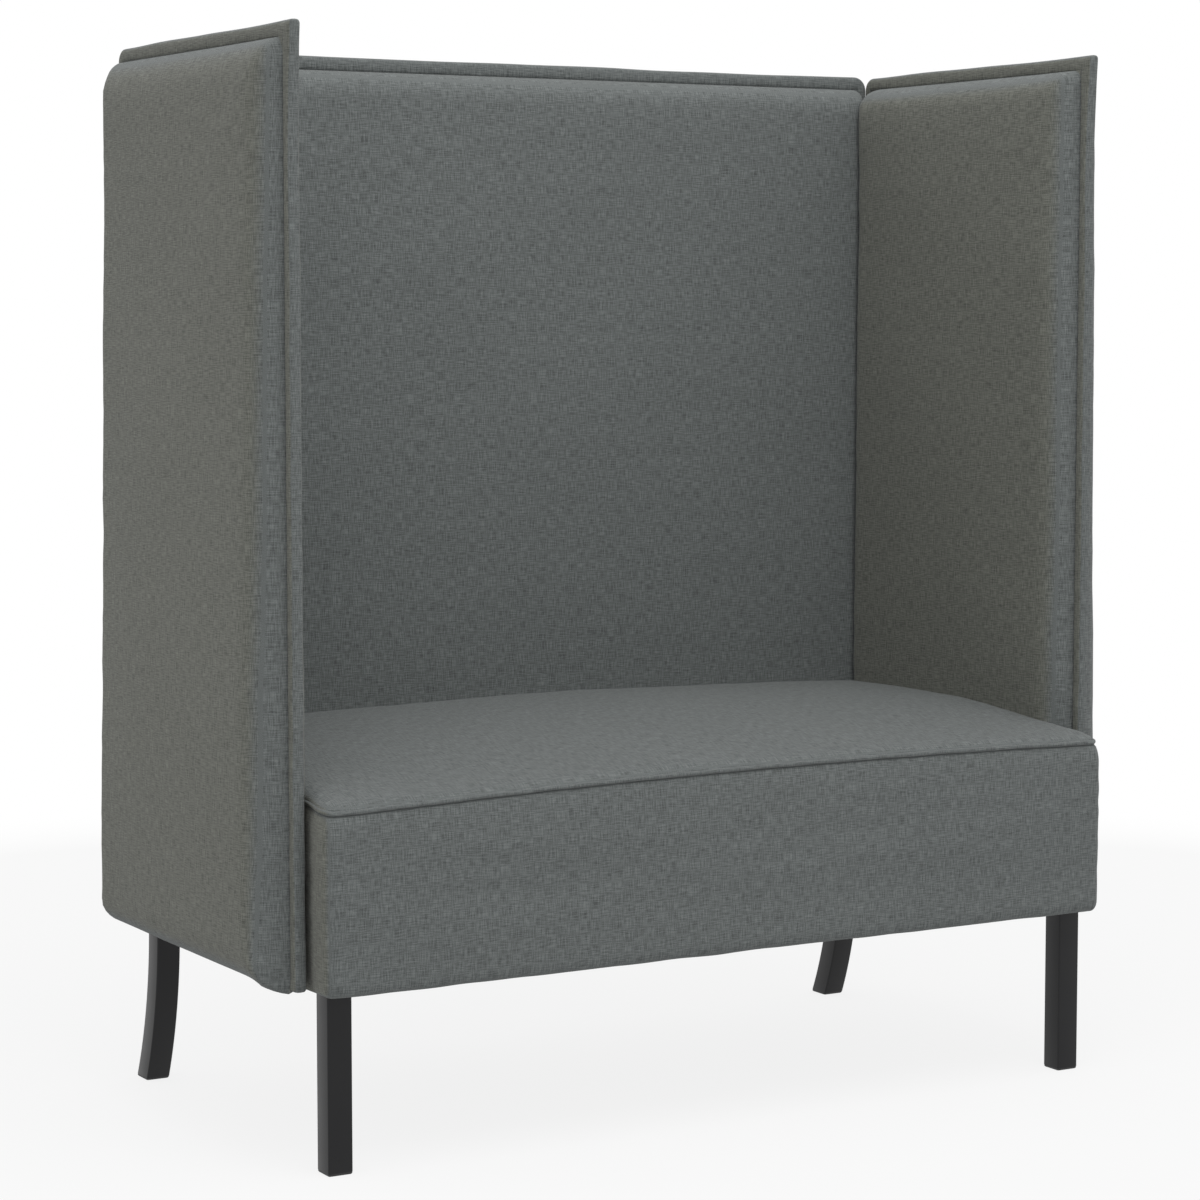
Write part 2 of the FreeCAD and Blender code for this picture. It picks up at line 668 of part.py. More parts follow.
def welt_tube(diameter):
    path = welt_path()
    start = path.Vertexes[0].Point
    way = path.Edges[0].tangentAt(path.Edges[0].FirstParameter)
    section = Part.Wire(Part.makeCircle(diameter / 2, start, way))
    return path.makePipeShell([section], True, False)


def below_welt():
    """Everything lower than the welt, to part the boxing from the top cover."""
    half = value(HALF) + CROWN_MARGIN
    top = value("seat_underside + welt_height")
    back = value("seat_underside + welt_height + rear_rise - side_fall")
    sections = []
    for y, middle, end in ((value(FRONT) - CROWN_MARGIN, top, top - value("front_arch")),
                           (value(REAR) + CROWN_MARGIN, back + value("front_arch"), back)):
        corners = [point(-half, y, end), point(half, y, end), point(half, y, 0), point(-half, y, 0)]
        sections.append(Part.Wire([
            Part.Arc(corners[0], point(0, y, middle), corners[1]).toShape(),
            Part.makeLine(corners[1], corners[2]),
            Part.makeLine(corners[2], corners[3]),
            Part.makeLine(corners[3], corners[0]),
        ]))
    return Part.makeLoft(sections, True, True)


seat_skin = feature("seat_skin", seat_form(0, value("seat_underside")))
seat_core = feature("seat_core", seat_form(value("cover"), value("seat_underside")))
welt_groove = feature("welt_groove", welt_tube(value("welt + 2 * welt_clearance")))
lower_space = feature("lower_space", below_welt())
foam_block = feature("foam_block", seat_form(value("cover"), value(FOAM_BASE)))
piece(cut("seat_foam", foam_block, welt_groove))
seat_shell = cut("seat_shell_grooved", cut("seat_shell", seat_skin, seat_core), welt_groove)
piece(cut("seat_top_cover", seat_shell, lower_space))
boxing = common("boxing_blank", seat_shell, lower_space)
piece(cut("seat_boxing", boxing, group("boxing_holes", sum(rail_holes.values(), []))))
piece(feature("seat_welt", welt_tube(value("welt"))))


# Panels
def soft(distance, reach):
    """Rises from 0 at an edge to 1 at a reach from it, as a quarter of an ellipse does."""
    return math.sqrt(1 - (1 - min(distance / reach, 1)) ** 2)


EDGE_STATIONS = (0, 0.12, 0.4, 1)
MIDDLE_STATIONS = (0.5,)


def pad_form(width, height, thick_low, thick_top, edge, inset, rounded_foot):
    """A pad lying on the XY plane, X across and Y up, drawn in by an inset off that plane."""
    rounding = value("pad_corner") - inset
    half = width / 2 - inset
    low = inset if rounded_foot else 0
    high = height - inset
    stations = [low + share * edge for share in EDGE_STATIONS] if rounded_foot else [low]
    stations += [low + share * (high - low) for share in MIDDLE_STATIONS]
    stations += [high - share * edge for share in reversed(EDGE_STATIONS)]
    sections = []
    for v in stations:
        nearest = min(v - low, high - v) if rounded_foot else high - v
        full = thick_low + (thick_top - thick_low) * v / height - inset
        lip = value("pad_lip") - inset
        thick = lip + (full - lip) * soft(nearest, edge)
        share = thick / full
        reach = half - rounding * (1 - soft(nearest, rounding))
        shoulder = reach - edge * share
        side = thick - value("pad_fall") * share
        knee = math.sqrt(0.5)
        foot = point(reach, v, 0)
        top = point(shoulder, v, side)
        bulge = point(shoulder + (reach - shoulder) * knee, v, side * knee)

        def flip(spot):
            return point(-spot.x, spot.y, spot.z)

        sections.append(Part.Wire([
            Part.makeLine(flip(foot), foot),
            Part.Arc(foot, bulge, top).toShape(),
            Part.Arc(top, point(0, v, thick), flip(top)).toShape(),
            Part.Arc(flip(top), flip(bulge), flip(foot)).toShape(),
        ]))
    return Part.makeLoft(sections, True, True)


def padding(foam_node, cover_node, width, height, thick, edge, facing, at, seated):
    """A foam pad and its cover on one face of a board. The seat cuts off the foot of a seated one."""
    outward = FreeCAD.Vector(*facing)
    up = FreeCAD.Vector(0, 0, 1)
    turned = FreeCAD.Rotation(up.cross(outward), up, outward, "ZYX")
    size = [value(formula) for formula in (width, height, *thick, edge)]

    def form(name, inset):
        solid = feature(name, pad_form(*size, inset, not seated))
        solid.Placement.Rotation = turned
        return place(solid, *at)

    skin = form(f"{cover_node}_form", 0)
    if seated:
        skin = cut(f"{cover_node}_trimmed", skin, seat_skin)
        foam = cut(foam_node, form(f"{foam_node}_form", value("cover")), seat_skin)
    else:
        foam = form(foam_node, value("cover"))
    piece(foam)
    piece(cut(cover_node, skin, foam))


def upright_sheet(name, plane, across, tall, thick, rounding, rounded):
    """A flat upright piece with rounded upper corners, drawn from its lower corner."""
    body = doc.addObject("PartDesign::Body", name)
    face = sketch_in(body, plane, f"{name}_face")
    rectangle(face, ("0", across), ("0", tall), rounding, rounded)
    pad(body, face, thick, f"{name}_sheet")
    return body


def soften(body):
    """Rounds the long edges of a border's envelope, all but the lowest."""
    doc.recompute()
    box = body.Shape.BoundBox
    thinnest = min(box.XLength, box.YLength)
    names = []
    for n, edge in enumerate(body.Shape.Edges, start=1):
        across = edge.Length < thinnest * 1.01 and edge.BoundBox.ZLength < thinnest / 2
        lowest = edge.BoundBox.ZMax < box.ZMin + thinnest / 2
        if not across and not lowest:
            names.append(f"Edge{n}")
    sharp = body.Tip
    rounding = body.newObject("PartDesign::Fillet", f"{body.Name}_rounding")
    rounding.Base = (sharp, names)
    bind(rounding, "Radius", "min(border_round; 3 * border_wrap)")


# Side panels: a plywood board in a padded border, with a pad and its cover on each face
envelope_tall = f"panel_top - {PANEL_BASE}"
board_tall = f"{envelope_tall} - border_wrap"
board_rounding = "panel_corner - border_wrap"
wall = "board_thickness + 2 * border_wrap"
window_z = (PANEL_BASE, "panel_top - flange_top")
window_y = (f"{PANEL_FRONT} + flange_edge", f"{PANEL_REAR} - flange_edge")
pad_tall = f"panel_top - flange_top - {PANEL_BASE} - pad_clearance"
seated_base = "(seat_underside + welt_height - front_arch)"
seated_tall = f"panel_top - flange_top - {seated_base} - pad_clearance"
for name, side in SIDES:
    board_low = mirrored(side, BOARD_INNER, BOARD_OUTER)[0]
    envelope_x = mirrored(side, f"{BOARD_INNER} - border_wrap", f"{BOARD_OUTER} + border_wrap")
    board_deep = f"{PANEL_REAR} - {PANEL_FRONT} - 2 * border_wrap"
    board = upright_sheet(
        f"{name}_board_blank", "YZ_Plane", board_deep, board_tall, "board_thickness", board_rounding, (2,))
    place(board, board_low, f"{PANEL_FRONT} + border_wrap", PANEL_BASE)
    holes = group(f"{name}_board_holes", board_holes[name])
    bored = cut(f"{name}_board_bored", board, holes)
    piece(cut(f"{name}_panel_board", bored, link_bores))

    envelope_deep = f"{PANEL_REAR} - {PANEL_FRONT}"
    envelope = upright_sheet(
        f"{name}_envelope", "YZ_Plane", envelope_deep, envelope_tall, wall, "panel_corner", (2,))
    soften(envelope)
    place(envelope, envelope_x[0], PANEL_FRONT, PANEL_BASE)
    window = slab(f"{name}_window", envelope_x, window_y, window_z)
    hollow = fused(f"{name}_border_hollow", board, window)
    piece(cut(f"{name}_panel_border", cut(f"{name}_border_band", envelope, hollow), link_bores))

    outer_width = f"{window_y[1]} - ({window_y[0]}) - 2 * pad_clearance"
    outer_at = (f"{side} * {BOARD_OUTER}", f"({window_y[0]} + {window_y[1]}) / 2", PANEL_BASE)
    padding(f"{name}_outer_pad", f"{name}_outer_cover", outer_width, pad_tall,
            ("outer_pad_low", "outer_pad_top"), "outer_pad_edge", (side, 0, 0), outer_at, False)
    inner_y_span = (f"{window_y[0]} + pad_clearance", f"{BACK_FRONT} - back_pad - pad_clearance")
    inner_width = f"{inner_y_span[1]} - ({inner_y_span[0]})"
    inner_at = (f"{side} * {BOARD_INNER}", f"({inner_y_span[0]} + {inner_y_span[1]}) / 2", seated_base)
    padding(f"{name}_inner_pad", f"{name}_inner_cover", inner_width, seated_tall,
            ("inner_pad", "inner_pad"), "pad_edge", (-side, 0, 0), inner_at, True)

# Back panel: made the same way, between the side panels
back_board_wide = f"2 * ({BACK_HALF} - border_wrap)"
back_board = upright_sheet(
    "back_board_blank", "XZ_Plane", back_board_wide, board_tall, "board_thickness", board_rounding, (2, 3))
place(back_board, f"border_wrap - {BACK_HALF}", BACK_REAR, PANEL_BASE)
back_bored = cut("back_board_bored", back_board, group("back_board_holes", board_holes["back"]))
piece(cut("back_panel_board", back_bored, link_bores))

back_envelope = upright_sheet(
    "back_envelope", "XZ_Plane", f"2 * {BACK_HALF}", envelope_tall, wall, "panel_corner", (2, 3))
soften(back_envelope)
place(back_envelope, f"-{BACK_HALF}", f"{BACK_REAR} + border_wrap", PANEL_BASE)
back_window_half = f"({BACK_HALF} - flange_edge)"
back_window = slab(
    "back_window", (f"-{back_window_half}", back_window_half),
    (f"{BACK_FRONT} - border_wrap", f"{BACK_REAR} + border_wrap"), window_z)
back_hollow = fused("back_border_hollow", back_board, back_window)
piece(cut("back_panel_border", cut("back_border_band", back_envelope, back_hollow), link_bores))

back_pad_wide = f"2 * ({back_window_half} - pad_clearance)"
padding("back_front_pad", "back_front_cover", back_pad_wide, seated_tall,
        ("back_pad", "back_pad"), "pad_edge", (0, -1, 0), ("0", BACK_FRONT, seated_base), True)
padding("back_rear_pad", "back_rear_cover", back_pad_wide, pad_tall,
        ("rear_pad", "rear_pad"), "pad_edge", (0, 1, 0), ("0", BACK_REAR, PANEL_BASE), False)

# Every piece has to be sound before any is written
doc.recompute()
faults = [thing.Label for thing in doc.Objects if {"Invalid", "Error"} & set(thing.State)]
faults += [thing.Label for thing in pieces if thing.Shape.isNull() or not thing.Shape.isValid()]
faults += [thing.Label for thing in pieces if not thing.Shape.Solids]
if faults:
    raise RuntimeError("unsound pieces: " + ", ".join(faults))
os.makedirs("parts", exist_ok=True)
for thing in pieces:
    thing.Shape.exportStep(f"parts/{thing.Label}.step")
print(len(pieces), "pieces written")
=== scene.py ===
"""A two-seat high-back sofa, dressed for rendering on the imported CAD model.

Metres, +Z up, the front faces -Y and X runs along the seat, as in the CAD model.
"""
import math

import bmesh
import bpy
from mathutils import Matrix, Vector, noise


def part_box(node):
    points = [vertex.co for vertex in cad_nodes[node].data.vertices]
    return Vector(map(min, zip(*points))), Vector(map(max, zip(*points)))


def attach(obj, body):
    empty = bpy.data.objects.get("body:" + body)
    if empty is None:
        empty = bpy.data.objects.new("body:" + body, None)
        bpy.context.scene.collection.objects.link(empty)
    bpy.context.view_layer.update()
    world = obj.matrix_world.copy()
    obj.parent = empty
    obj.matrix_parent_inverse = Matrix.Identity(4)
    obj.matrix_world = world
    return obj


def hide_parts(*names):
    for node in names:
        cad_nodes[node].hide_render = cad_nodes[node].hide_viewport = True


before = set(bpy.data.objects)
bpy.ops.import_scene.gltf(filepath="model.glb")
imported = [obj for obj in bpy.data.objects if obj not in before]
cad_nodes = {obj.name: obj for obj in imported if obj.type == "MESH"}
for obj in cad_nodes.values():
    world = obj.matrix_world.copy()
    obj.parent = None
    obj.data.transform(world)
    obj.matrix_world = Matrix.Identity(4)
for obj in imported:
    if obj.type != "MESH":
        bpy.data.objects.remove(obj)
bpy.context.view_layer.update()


# Seat frame: four beech rails, a stretcher across the middle and a glued block in each corner.
# The boards are planed and left bare, because the upholstery hides them.
class Wire:
    """A shader socket in an expression: every operator adds its Math node."""

    def __init__(self, finish, node, output):
        self.finish = finish
        self.node = node
        self.socket = node.outputs[output]

    def other(self, output):
        return Wire(self.finish, self.node, output)

    def maths(self, operation, *terms):
        sockets = dict(enumerate(terms))
        return self.finish.node("ShaderNodeMath", {"operation": operation}, sockets)

    def __add__(self, term):
        return self.maths("ADD", self, term)

    def __sub__(self, term):
        return self.maths("SUBTRACT", self, term)

    def __rsub__(self, term):
        return self.maths("SUBTRACT", term, self)

    def __mul__(self, term):
        return self.maths("MULTIPLY", self, term)

    def __abs__(self):
        return self.maths("ABSOLUTE", self)

    def sine(self):
        return self.maths("SINE", self)

    __radd__ = __add__
    __rmul__ = __mul__


class Finish:
    """A material in the making, round one Principled shader."""

    def __init__(self, name):
        self.material = bpy.data.materials.new(name)
        self.material.use_nodes = True
        self.tree = self.material.node_tree
        self.shader = self.tree.nodes["Principled BSDF"]

    def node(self, kind, settings, sockets, output=0):
        made = self.tree.nodes.new(kind)
        for key, setting in settings.items():
            setattr(made, key, setting)
        self.connect(made, sockets)
        return Wire(self, made, output)

    def connect(self, node, sockets):
        """Links or sets the inputs. A list of wires goes into one input together."""
        for key, given in sockets.items():
            for one in given if isinstance(given, list) else [given]:
                if isinstance(one, Wire):
                    self.tree.links.new(one.socket, node.inputs[key])
                else:
                    node.inputs[key].default_value = one

    def paint(self, sockets):
        self.connect(self.shader, sockets)

    def places(self):
        """The three Object coordinates of a point, in metres."""
        coordinates = self.node("ShaderNodeTexCoord", {}, {}, "Object")
        split = self.node("ShaderNodeSeparateXYZ", {}, {"Vector": coordinates})
        return split, split.other("Y"), split.other("Z")

    def vector(self, x, y, z):
        return self.node("ShaderNodeCombineXYZ", {}, {"X": x, "Y": y, "Z": z})

    def grain(self, vector, scale, detail=2.0):
        """Soft noise between 0 and 1."""
        sockets = {"Vector": vector, "Scale": scale, "Detail": detail}
        return self.node("ShaderNodeTexNoise", {}, sockets)

    def cloud(self, scale, detail=2.0):
        """Soft noise that is alike every way."""
        return self.grain(self.vector(*self.places()), scale, detail)

    def spread(self, number, low, high, soft=False):
        """The number's share of the way from low to high, kept between 0 and 1."""
        kind = "SMOOTHSTEP" if soft else "LINEAR"
        sockets = {"Value": number, "From Min": low, "From Max": high}
        return self.node("ShaderNodeMapRange", {"interpolation_type": kind}, sockets)

    def blend(self, share, first, second):
        """A colour on the way from the first to the second."""
        sockets = {"Factor": share, 6: first, 7: second}
        return self.node("ShaderNodeMix", {"data_type": "RGBA"}, sockets, 2)

    def bump(self, height, depth, strength=1.0):
        sockets = {"Height": height, "Distance": depth, "Strength": strength}
        self.paint({"Normal": self.node("ShaderNodeBump", {}, sockets)})


def planed_beech(name, length_axis):
    """Pale beech with its fine dark flecks along the length of the board."""
    finish = Finish(name)
    x, y, z = finish.places()

    def streaks(along, beside, detail):
        x_scale, y_scale = (along, beside) if length_axis == "x" else (beside, along)
        return finish.grain(finish.vector(x * x_scale, y * y_scale, z * beside), 1.0, detail)

    rings = streaks(14.0, 130.0, 4.0)
    dark_fleck = finish.spread(streaks(90.0, 900.0, 2.0), 0.62, 0.72)
    board = finish.blend(rings, (0.40, 0.24, 0.12, 1), (0.62, 0.42, 0.25, 1))
    finish.paint({
        "Base Color": finish.blend(dark_fleck * 0.6, board, (0.22, 0.11, 0.05, 1)),
        "Roughness": 0.5 + 0.2 * rings,
    })
    finish.bump(rings - dark_fleck * 0.5, 0.0003, 0.5)
    return finish


def wear(finish, *names):
    """Puts a finish on CAD nodes that stay as they are."""
    for name in names:
        slots = cad_nodes[name].data.materials
        slots.clear()
        slots.append(finish.material)


beech_across = planed_beech("beech_across", "x")
beech_deep = planed_beech("beech_deep", "y")
wear(beech_across, "seat_front_rail", "seat_rear_rail")
wear(beech_deep, "seat_left_rail", "seat_right_rail", "seat_centre_stretcher")
CORNERS = ("front_left", "front_right", "rear_left", "rear_right")
for corner in CORNERS:
    wear(beech_across, f"{corner}_corner_block")


# Springs: six zigzag wires held by clips on the rails, with a felt pad over them under the foam.
# Bright drawn wire, zinc-plated strip clips and grey needle felt.
def plated_zinc(name, pale, dark, smooth, rough):
    """Metal with the faint cloudy patches of its plating."""
    finish = Finish(name)
    patches = finish.cloud(160.0, 3.0)
    clouds = finish.spread(patches, 0.3, 0.7)
    finish.paint({
        "Base Color": finish.blend(clouds, dark, pale),
        "Metallic": 1.0,
        "Roughness": smooth + (rough - smooth) * clouds,
    })
    finish.bump(patches, 0.0001, 0.4)
    return finish


zinc = plated_zinc("zinc", (0.66, 0.67, 0.68, 1), (0.50, 0.51, 0.53, 1), 0.28, 0.46)
drawn_wire = plated_zinc("drawn_wire", (0.42, 0.41, 0.40, 1), (0.27, 0.26, 0.26, 1), 0.25, 0.4)
needle_felt = Finish("needle_felt")
hairs = needle_felt.cloud(700.0, 4.0)
needle_felt.paint({
    "Base Color": needle_felt.blend(hairs, (0.12, 0.115, 0.11, 1), (0.34, 0.33, 0.31, 1)),
    "Roughness": 0.95,
})
needle_felt.bump(hairs, 0.0008, 0.7)
wear(drawn_wire, *[f"seat_spring_{n}" for n in range(1, 7)])
wear(zinc, "spring_clips")
wear(needle_felt, "spring_insulator")


# Legs: square steel tube in satin black lacquer, straight in front and swept back at the rear.
# Each foot is closed by a moulded glide of black nylon.
EDGE_ROUND = 0.0022
FOOT_ROUND = 0.0012
GLIDE_INSET = 0.0003
REAR_SWEEP = 0.044
SWEEP_STEPS = 18
ROUND_STEPS = 4

black_lacquer = Finish("black_lacquer")
skin = black_lacquer.cloud(420.0)
smears = black_lacquer.cloud(22.0, 4.0)
black_lacquer.paint({
    "Base Color": black_lacquer.blend(smears, (0.005, 0.005, 0.006, 1), (0.009, 0.009, 0.010, 1)),
    "Roughness": 0.25 + 0.14 * smears,
    "Specular IOR Level": 0.32,
})
black_lacquer.bump(skin, 0.00012, 0.5)

black_nylon = Finish("black_nylon")
mould_grain = black_nylon.cloud(900.0)
black_nylon.paint({
    "Base Color": black_nylon.blend(
        mould_grain, (0.014, 0.014, 0.014, 1), (0.028, 0.028, 0.028, 1)),
    "Roughness": 0.5 + 0.15 * mould_grain,
})
black_nylon.bump(mould_grain, 0.0001, 0.6)


def corner_middles(x_ends, y_ends, rounding):
    """The middles of a rectangle's four rounded corners, anticlockwise from the far right one."""
    left, right = x_ends[0] + rounding, x_ends[1] - rounding
    front, rear = y_ends[0] + rounding, y_ends[1] - rounding
    return [(right, rear), (left, rear), (left, front), (right, front)]


def rounded_ring(x_ends, y_ends, z, rounding):
    """A level rounded rectangle, anticlockwise from above."""
    ring = []
    for corner, (x, y) in enumerate(corner_middles(x_ends, y_ends, rounding)):
        for step in range(ROUND_STEPS + 1):
            turn = math.radians(90) * (corner + step / ROUND_STEPS)
            ring.append((x + rounding * math.cos(turn), y + rounding * math.sin(turn), z))
    return ring


def skinned(rings, capped=True):
    """The points and faces of a closed skin through rings of equal count."""
    count = len(rings[0])
    points = [point for ring in rings for point in ring]
    faces = []
    for level in range(len(rings) - 1):
        for n in range(count):
            low, low_next = level * count + n, level * count + (n + 1) % count
            faces.append((low, low_next, low_next + count, low + count))
    if capped:
        faces.append(tuple(reversed(range(count))))
        last = (len(rings) - 1) * count
        faces.append(tuple(range(last, last + count)))
    return points, faces


def placed(name, data):
    """A new object in the scene."""
    made = bpy.data.objects.new(name, data)
    bpy.context.scene.collection.objects.link(made)
    return made


def make_piece(name, points, faces, finish, slot, *nodes, crease=40):
    """A mesh piece of the sofa that stands for its CAD nodes."""
    mesh = bpy.data.meshes.new(name)
    mesh.from_pydata(points, [], faces)
    tidy = bmesh.new()
    tidy.from_mesh(mesh)
    bmesh.ops.recalc_face_normals(tidy, faces=tidy.faces[:])
    tidy.to_mesh(mesh)
    tidy.free()
    mesh.shade_smooth()
    mesh.set_sharp_from_angle(angle=math.radians(crease))
    mesh.materials.append(finish.material)
    made = placed(name, mesh)
    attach(made, "root")
    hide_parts(*nodes)
    return made


tube_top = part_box("front_left_leg")[1].z
sweep_radius = (tube_top ** 2 + REAR_SWEEP ** 2) / (2 * REAR_SWEEP)
for corner in CORNERS:
    low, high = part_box(f"{corner}_leg")
    side = high.x - low.x
    glide_top = low.z
    swept = corner.startswith("rear")

    def faces_at(z):
        """The front and rear of the tube at a height."""
        if not swept:
            return low.y, high.y
        drop = tube_top - z
        front = low.y + sweep_radius - math.sqrt(sweep_radius ** 2 - drop ** 2)
        inner = sweep_radius - side
        return front, low.y + sweep_radius - math.sqrt(inner ** 2 - drop ** 2)

    steps = SWEEP_STEPS if swept else 1
    heights = [glide_top + (tube_top - glide_top) * n / steps for n in range(steps + 1)]
    rings = [rounded_ring((low.x, high.x), faces_at(z), z, EDGE_ROUND) for z in heights]
    make_piece(f"{corner}_tube", *skinned(rings), black_lacquer, "black_lacquer", f"{corner}_leg")

    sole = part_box(f"{corner}_glide")[0].z
    rings = []
    levels = ((sole, FOOT_ROUND), (sole + FOOT_ROUND, GLIDE_INSET), (glide_top, GLIDE_INSET))
    for z, inset in levels:
        front, rear = faces_at(z)
        ends = (low.x + inset, high.x - inset)
        rings.append(rounded_ring(ends, (front + inset, rear - inset), z, EDGE_ROUND))
    make_piece(f"{corner}_foot", *skinned(rings), black_nylon, "black_nylon", f"{corner}_glide")


# Leg plates: a zinc-plated steel plate on each leg, held up by pan-head screws with a cross recess.
# A node tree sets one screw at each place that the CAD screws take.
SCREW_HEAD = 0.009
SCREW_HEAD_HEIGHT = 0.003
SCREW_CROWN = 0.36
SCREW_SHANK = 0.0045
SHANK_START = 0.0024
RECESS_LENGTH = 0.0052
RECESS_WIDTH = 0.0012
RECESS_DEPTH = 0.0016


class NodeWork(Finish):
    """A Geometry Nodes tree with named inputs, run on a mesh and turned into a plain one."""

    def __init__(self, name):
        self.tree = bpy.data.node_groups.new(name, "GeometryNodeTree")
        face = self.tree.interface
        face.new_socket("Geometry", in_out="INPUT", socket_type="NodeSocketGeometry")
        face.new_socket("Geometry", in_out="OUTPUT", socket_type="NodeSocketGeometry")
        self.entry = self.node("NodeGroupInput", {}, {})
        self.sizes = {}

    def size(self, name, number):
        """A named length of the tree, in metres."""
        self.tree.interface.new_socket(name, in_out="INPUT", socket_type="NodeSocketFloat")
        self.sizes[name] = number
        return self.entry.other(name)

    def run(self, name, points, edges, instances, finish):
        """Realizes the instances on the points, and hands back a plain mesh object."""
        real = self.node("GeometryNodeRealizeInstances", {}, {0: instances})
        sockets = {"Geometry": real, "Material": finish.material}
        dressed = self.node("GeometryNodeSetMaterial", {}, sockets)
        self.connect(self.tree.nodes.new("NodeGroupOutput"), {0: dressed})
        seed_mesh = bpy.data.meshes.new(f"{name}_places")
        seed_mesh.from_pydata(points, edges, [])
        seed = placed(f"{name}_seed", seed_mesh)
        modifier = seed.modifiers.new("work", "NODES")
        modifier.node_group = self.tree
        for socket in self.tree.interface.items_tree:
            if socket.in_out == "INPUT" and socket.name in self.sizes:
                modifier[socket.identifier] = self.sizes[socket.name]
        ready = seed.evaluated_get(bpy.context.evaluated_depsgraph_get())
        mesh = bpy.data.meshes.new_from_object(ready)
        seed.modifiers.clear()
        bpy.data.objects.remove(seed)
        mesh.name = name
        made = placed(name, mesh)
        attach(made, "root")
        return made


def screw_axes(node):
    """Where each upright screw of a CAD node stands, from the middle of its loose part."""
    places = []
    for vertex in cad_nodes[node].data.vertices:
        near = [group for group in places if (group[0] - vertex.co).to_2d().length < SCREW_HEAD]
        if near:
            near[0].append(vertex.co.copy())
        else:
            places.append([vertex.co.copy()])
    axes = []
    for group in places:
        middle = [(min(c[k] for c in group) + max(c[k] for c in group)) / 2 for k in (0, 1)]
        axes.append((*middle, min(c.z for c in group)))
    return axes


wear(zinc, *[f"{corner}_leg_plate" for corner in CORNERS])
screw_low, screw_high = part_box("leg_plate_screws")
screwing = NodeWork("plate_screws")
head = screwing.size("head", SCREW_HEAD)
head_height = screwing.size("head height", SCREW_HEAD_HEIGHT)
shank = screwing.size("shank", SCREW_SHANK)
tall = screwing.size("length", screw_high.z - screw_low.z)
recess = screwing.size("recess", RECESS_LENGTH)
disc = screwing.node("GeometryNodeMeshCone", {}, {
    "Vertices": 20, "Side Segments": 2, "Depth": head_height,
    "Radius Top": head * 0.5, "Radius Bottom": head * SCREW_CROWN,
})
slots = (screwing.vector(recess, RECESS_WIDTH, RECESS_DEPTH),
         screwing.vector(RECESS_WIDTH, recess, RECESS_DEPTH))
cross = [screwing.node("GeometryNodeMeshCube", {}, {"Size": size}) for size in slots]
recessed = screwing.node("GeometryNodeMeshBoolean", {"operation": "DIFFERENCE"},
                         {"Mesh 1": disc, "Mesh 2": cross})
core = screwing.node("GeometryNodeMeshCylinder", {}, {
    "Vertices": 10, "Radius": shank * 0.5, "Depth": tall,
})
core_up = screwing.node("GeometryNodeTransform", {}, {
    "Geometry": core, "Translation": screwing.vector(0.0, 0.0, tall * 0.5 + SHANK_START),
})
screw = screwing.node("GeometryNodeJoinGeometry", {}, {0: [recessed, core_up]})
set_screws = screwing.node("GeometryNodeInstanceOnPoints", {}, {
    "Points": screwing.entry.other(0), "Instance": screw,
})
plate_screws = screwing.run("plate_screws", screw_axes("leg_plate_screws"), [], set_screws, zinc)
plate_screws.data.set_sharp_from_angle(angle=math.radians(30))
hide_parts("leg_plate_screws")


# Dust cover: thin black non-woven cloth stapled under the frame, cut out round the leg plates.
# It hangs a little between its edges.
SHEET_STEP = 0.022
SHEET_SAG = 0.004
SHEET_DROP = 0.0005
SHEET_WAVER = 0.0006
SHEET_WAVES = 9
SHEET_THICKNESS = 0.0006

dust_cloth = Finish("dust_cloth")
x, y, z = dust_cloth.places()
fibres = dust_cloth.grain(dust_cloth.vector(x, y, z), 900.0, 4.0)
dimples = (x * 2400.0).sine() * (y * 2400.0).sine()
dust_cloth.paint({
    "Base Color": dust_cloth.blend(fibres, (0.010, 0.010, 0.011, 1), (0.034, 0.034, 0.036, 1)),
    "Roughness": 0.85,
})
dust_cloth.bump(fibres + 0.4 * dimples, 0.0003, 0.6)


def stops(edges, step):
    """Places from the first edge to the last, through every edge, about a step apart."""
    found = [edges[0]]
    for start, end in zip(edges, edges[1:]):
        count = max(1, round((end - start) / step))
        found += [start + (end - start) * n / count for n in range(1, count + 1)]
    return found


sheet_low, sheet_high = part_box("seat_dust_cover")
notch_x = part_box("front_right_leg_plate")[0].x
notch_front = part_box("front_right_leg_plate")[1].y
notch_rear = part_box("rear_right_leg_plate")[0].y
sheet_x = stops([sheet_low.x, -notch_x, notch_x, sheet_high.x], SHEET_STEP)
sheet_y = stops([sheet_low.y, notch_front, notch_rear, sheet_high.y], SHEET_STEP)
hang_x, hang_y = sheet_high.x, (sheet_high.y - sheet_low.y) / 2
sheet_middle = (sheet_high.y + sheet_low.y) / 2
points = []
for y in sheet_y:
    for x in sheet_x:
        slack = (1 - (x / hang_x) ** 2) * (1 - ((y - sheet_middle) / hang_y) ** 2)
        waver = SHEET_WAVER * noise.noise(Vector((x * SHEET_WAVES, y * SHEET_WAVES, 0)))
        points.append((x, y, sheet_high.z - SHEET_DROP - (SHEET_SAG + waver) * slack))
columns = len(sheet_x)
faces = []
for row in range(len(sheet_y) - 1):
    for column in range(columns - 1):
        x = (sheet_x[column] + sheet_x[column + 1]) / 2
        y = (sheet_y[row] + sheet_y[row + 1]) / 2
        if abs(x) > notch_x and not notch_front < y < notch_rear:
            continue
        first = row * columns + column
        faces.append((first, first + columns, first + columns + 1, first + 1))
used = sorted({n for face in faces for n in face})
renumbered = {old: new for new, old in enumerate(used)}
points = [points[n] for n in used]
faces = [tuple(renumbered[n] for n in face) for face in faces]
dust_cover = make_piece("dust_cover", points, faces, dust_cloth, "dust_cloth", "seat_dust_cover")
thicken = dust_cover.modifiers.new("cloth", "SOLIDIFY")
thicken.thickness = SHEET_THICKNESS
thicken.offset = 0.0


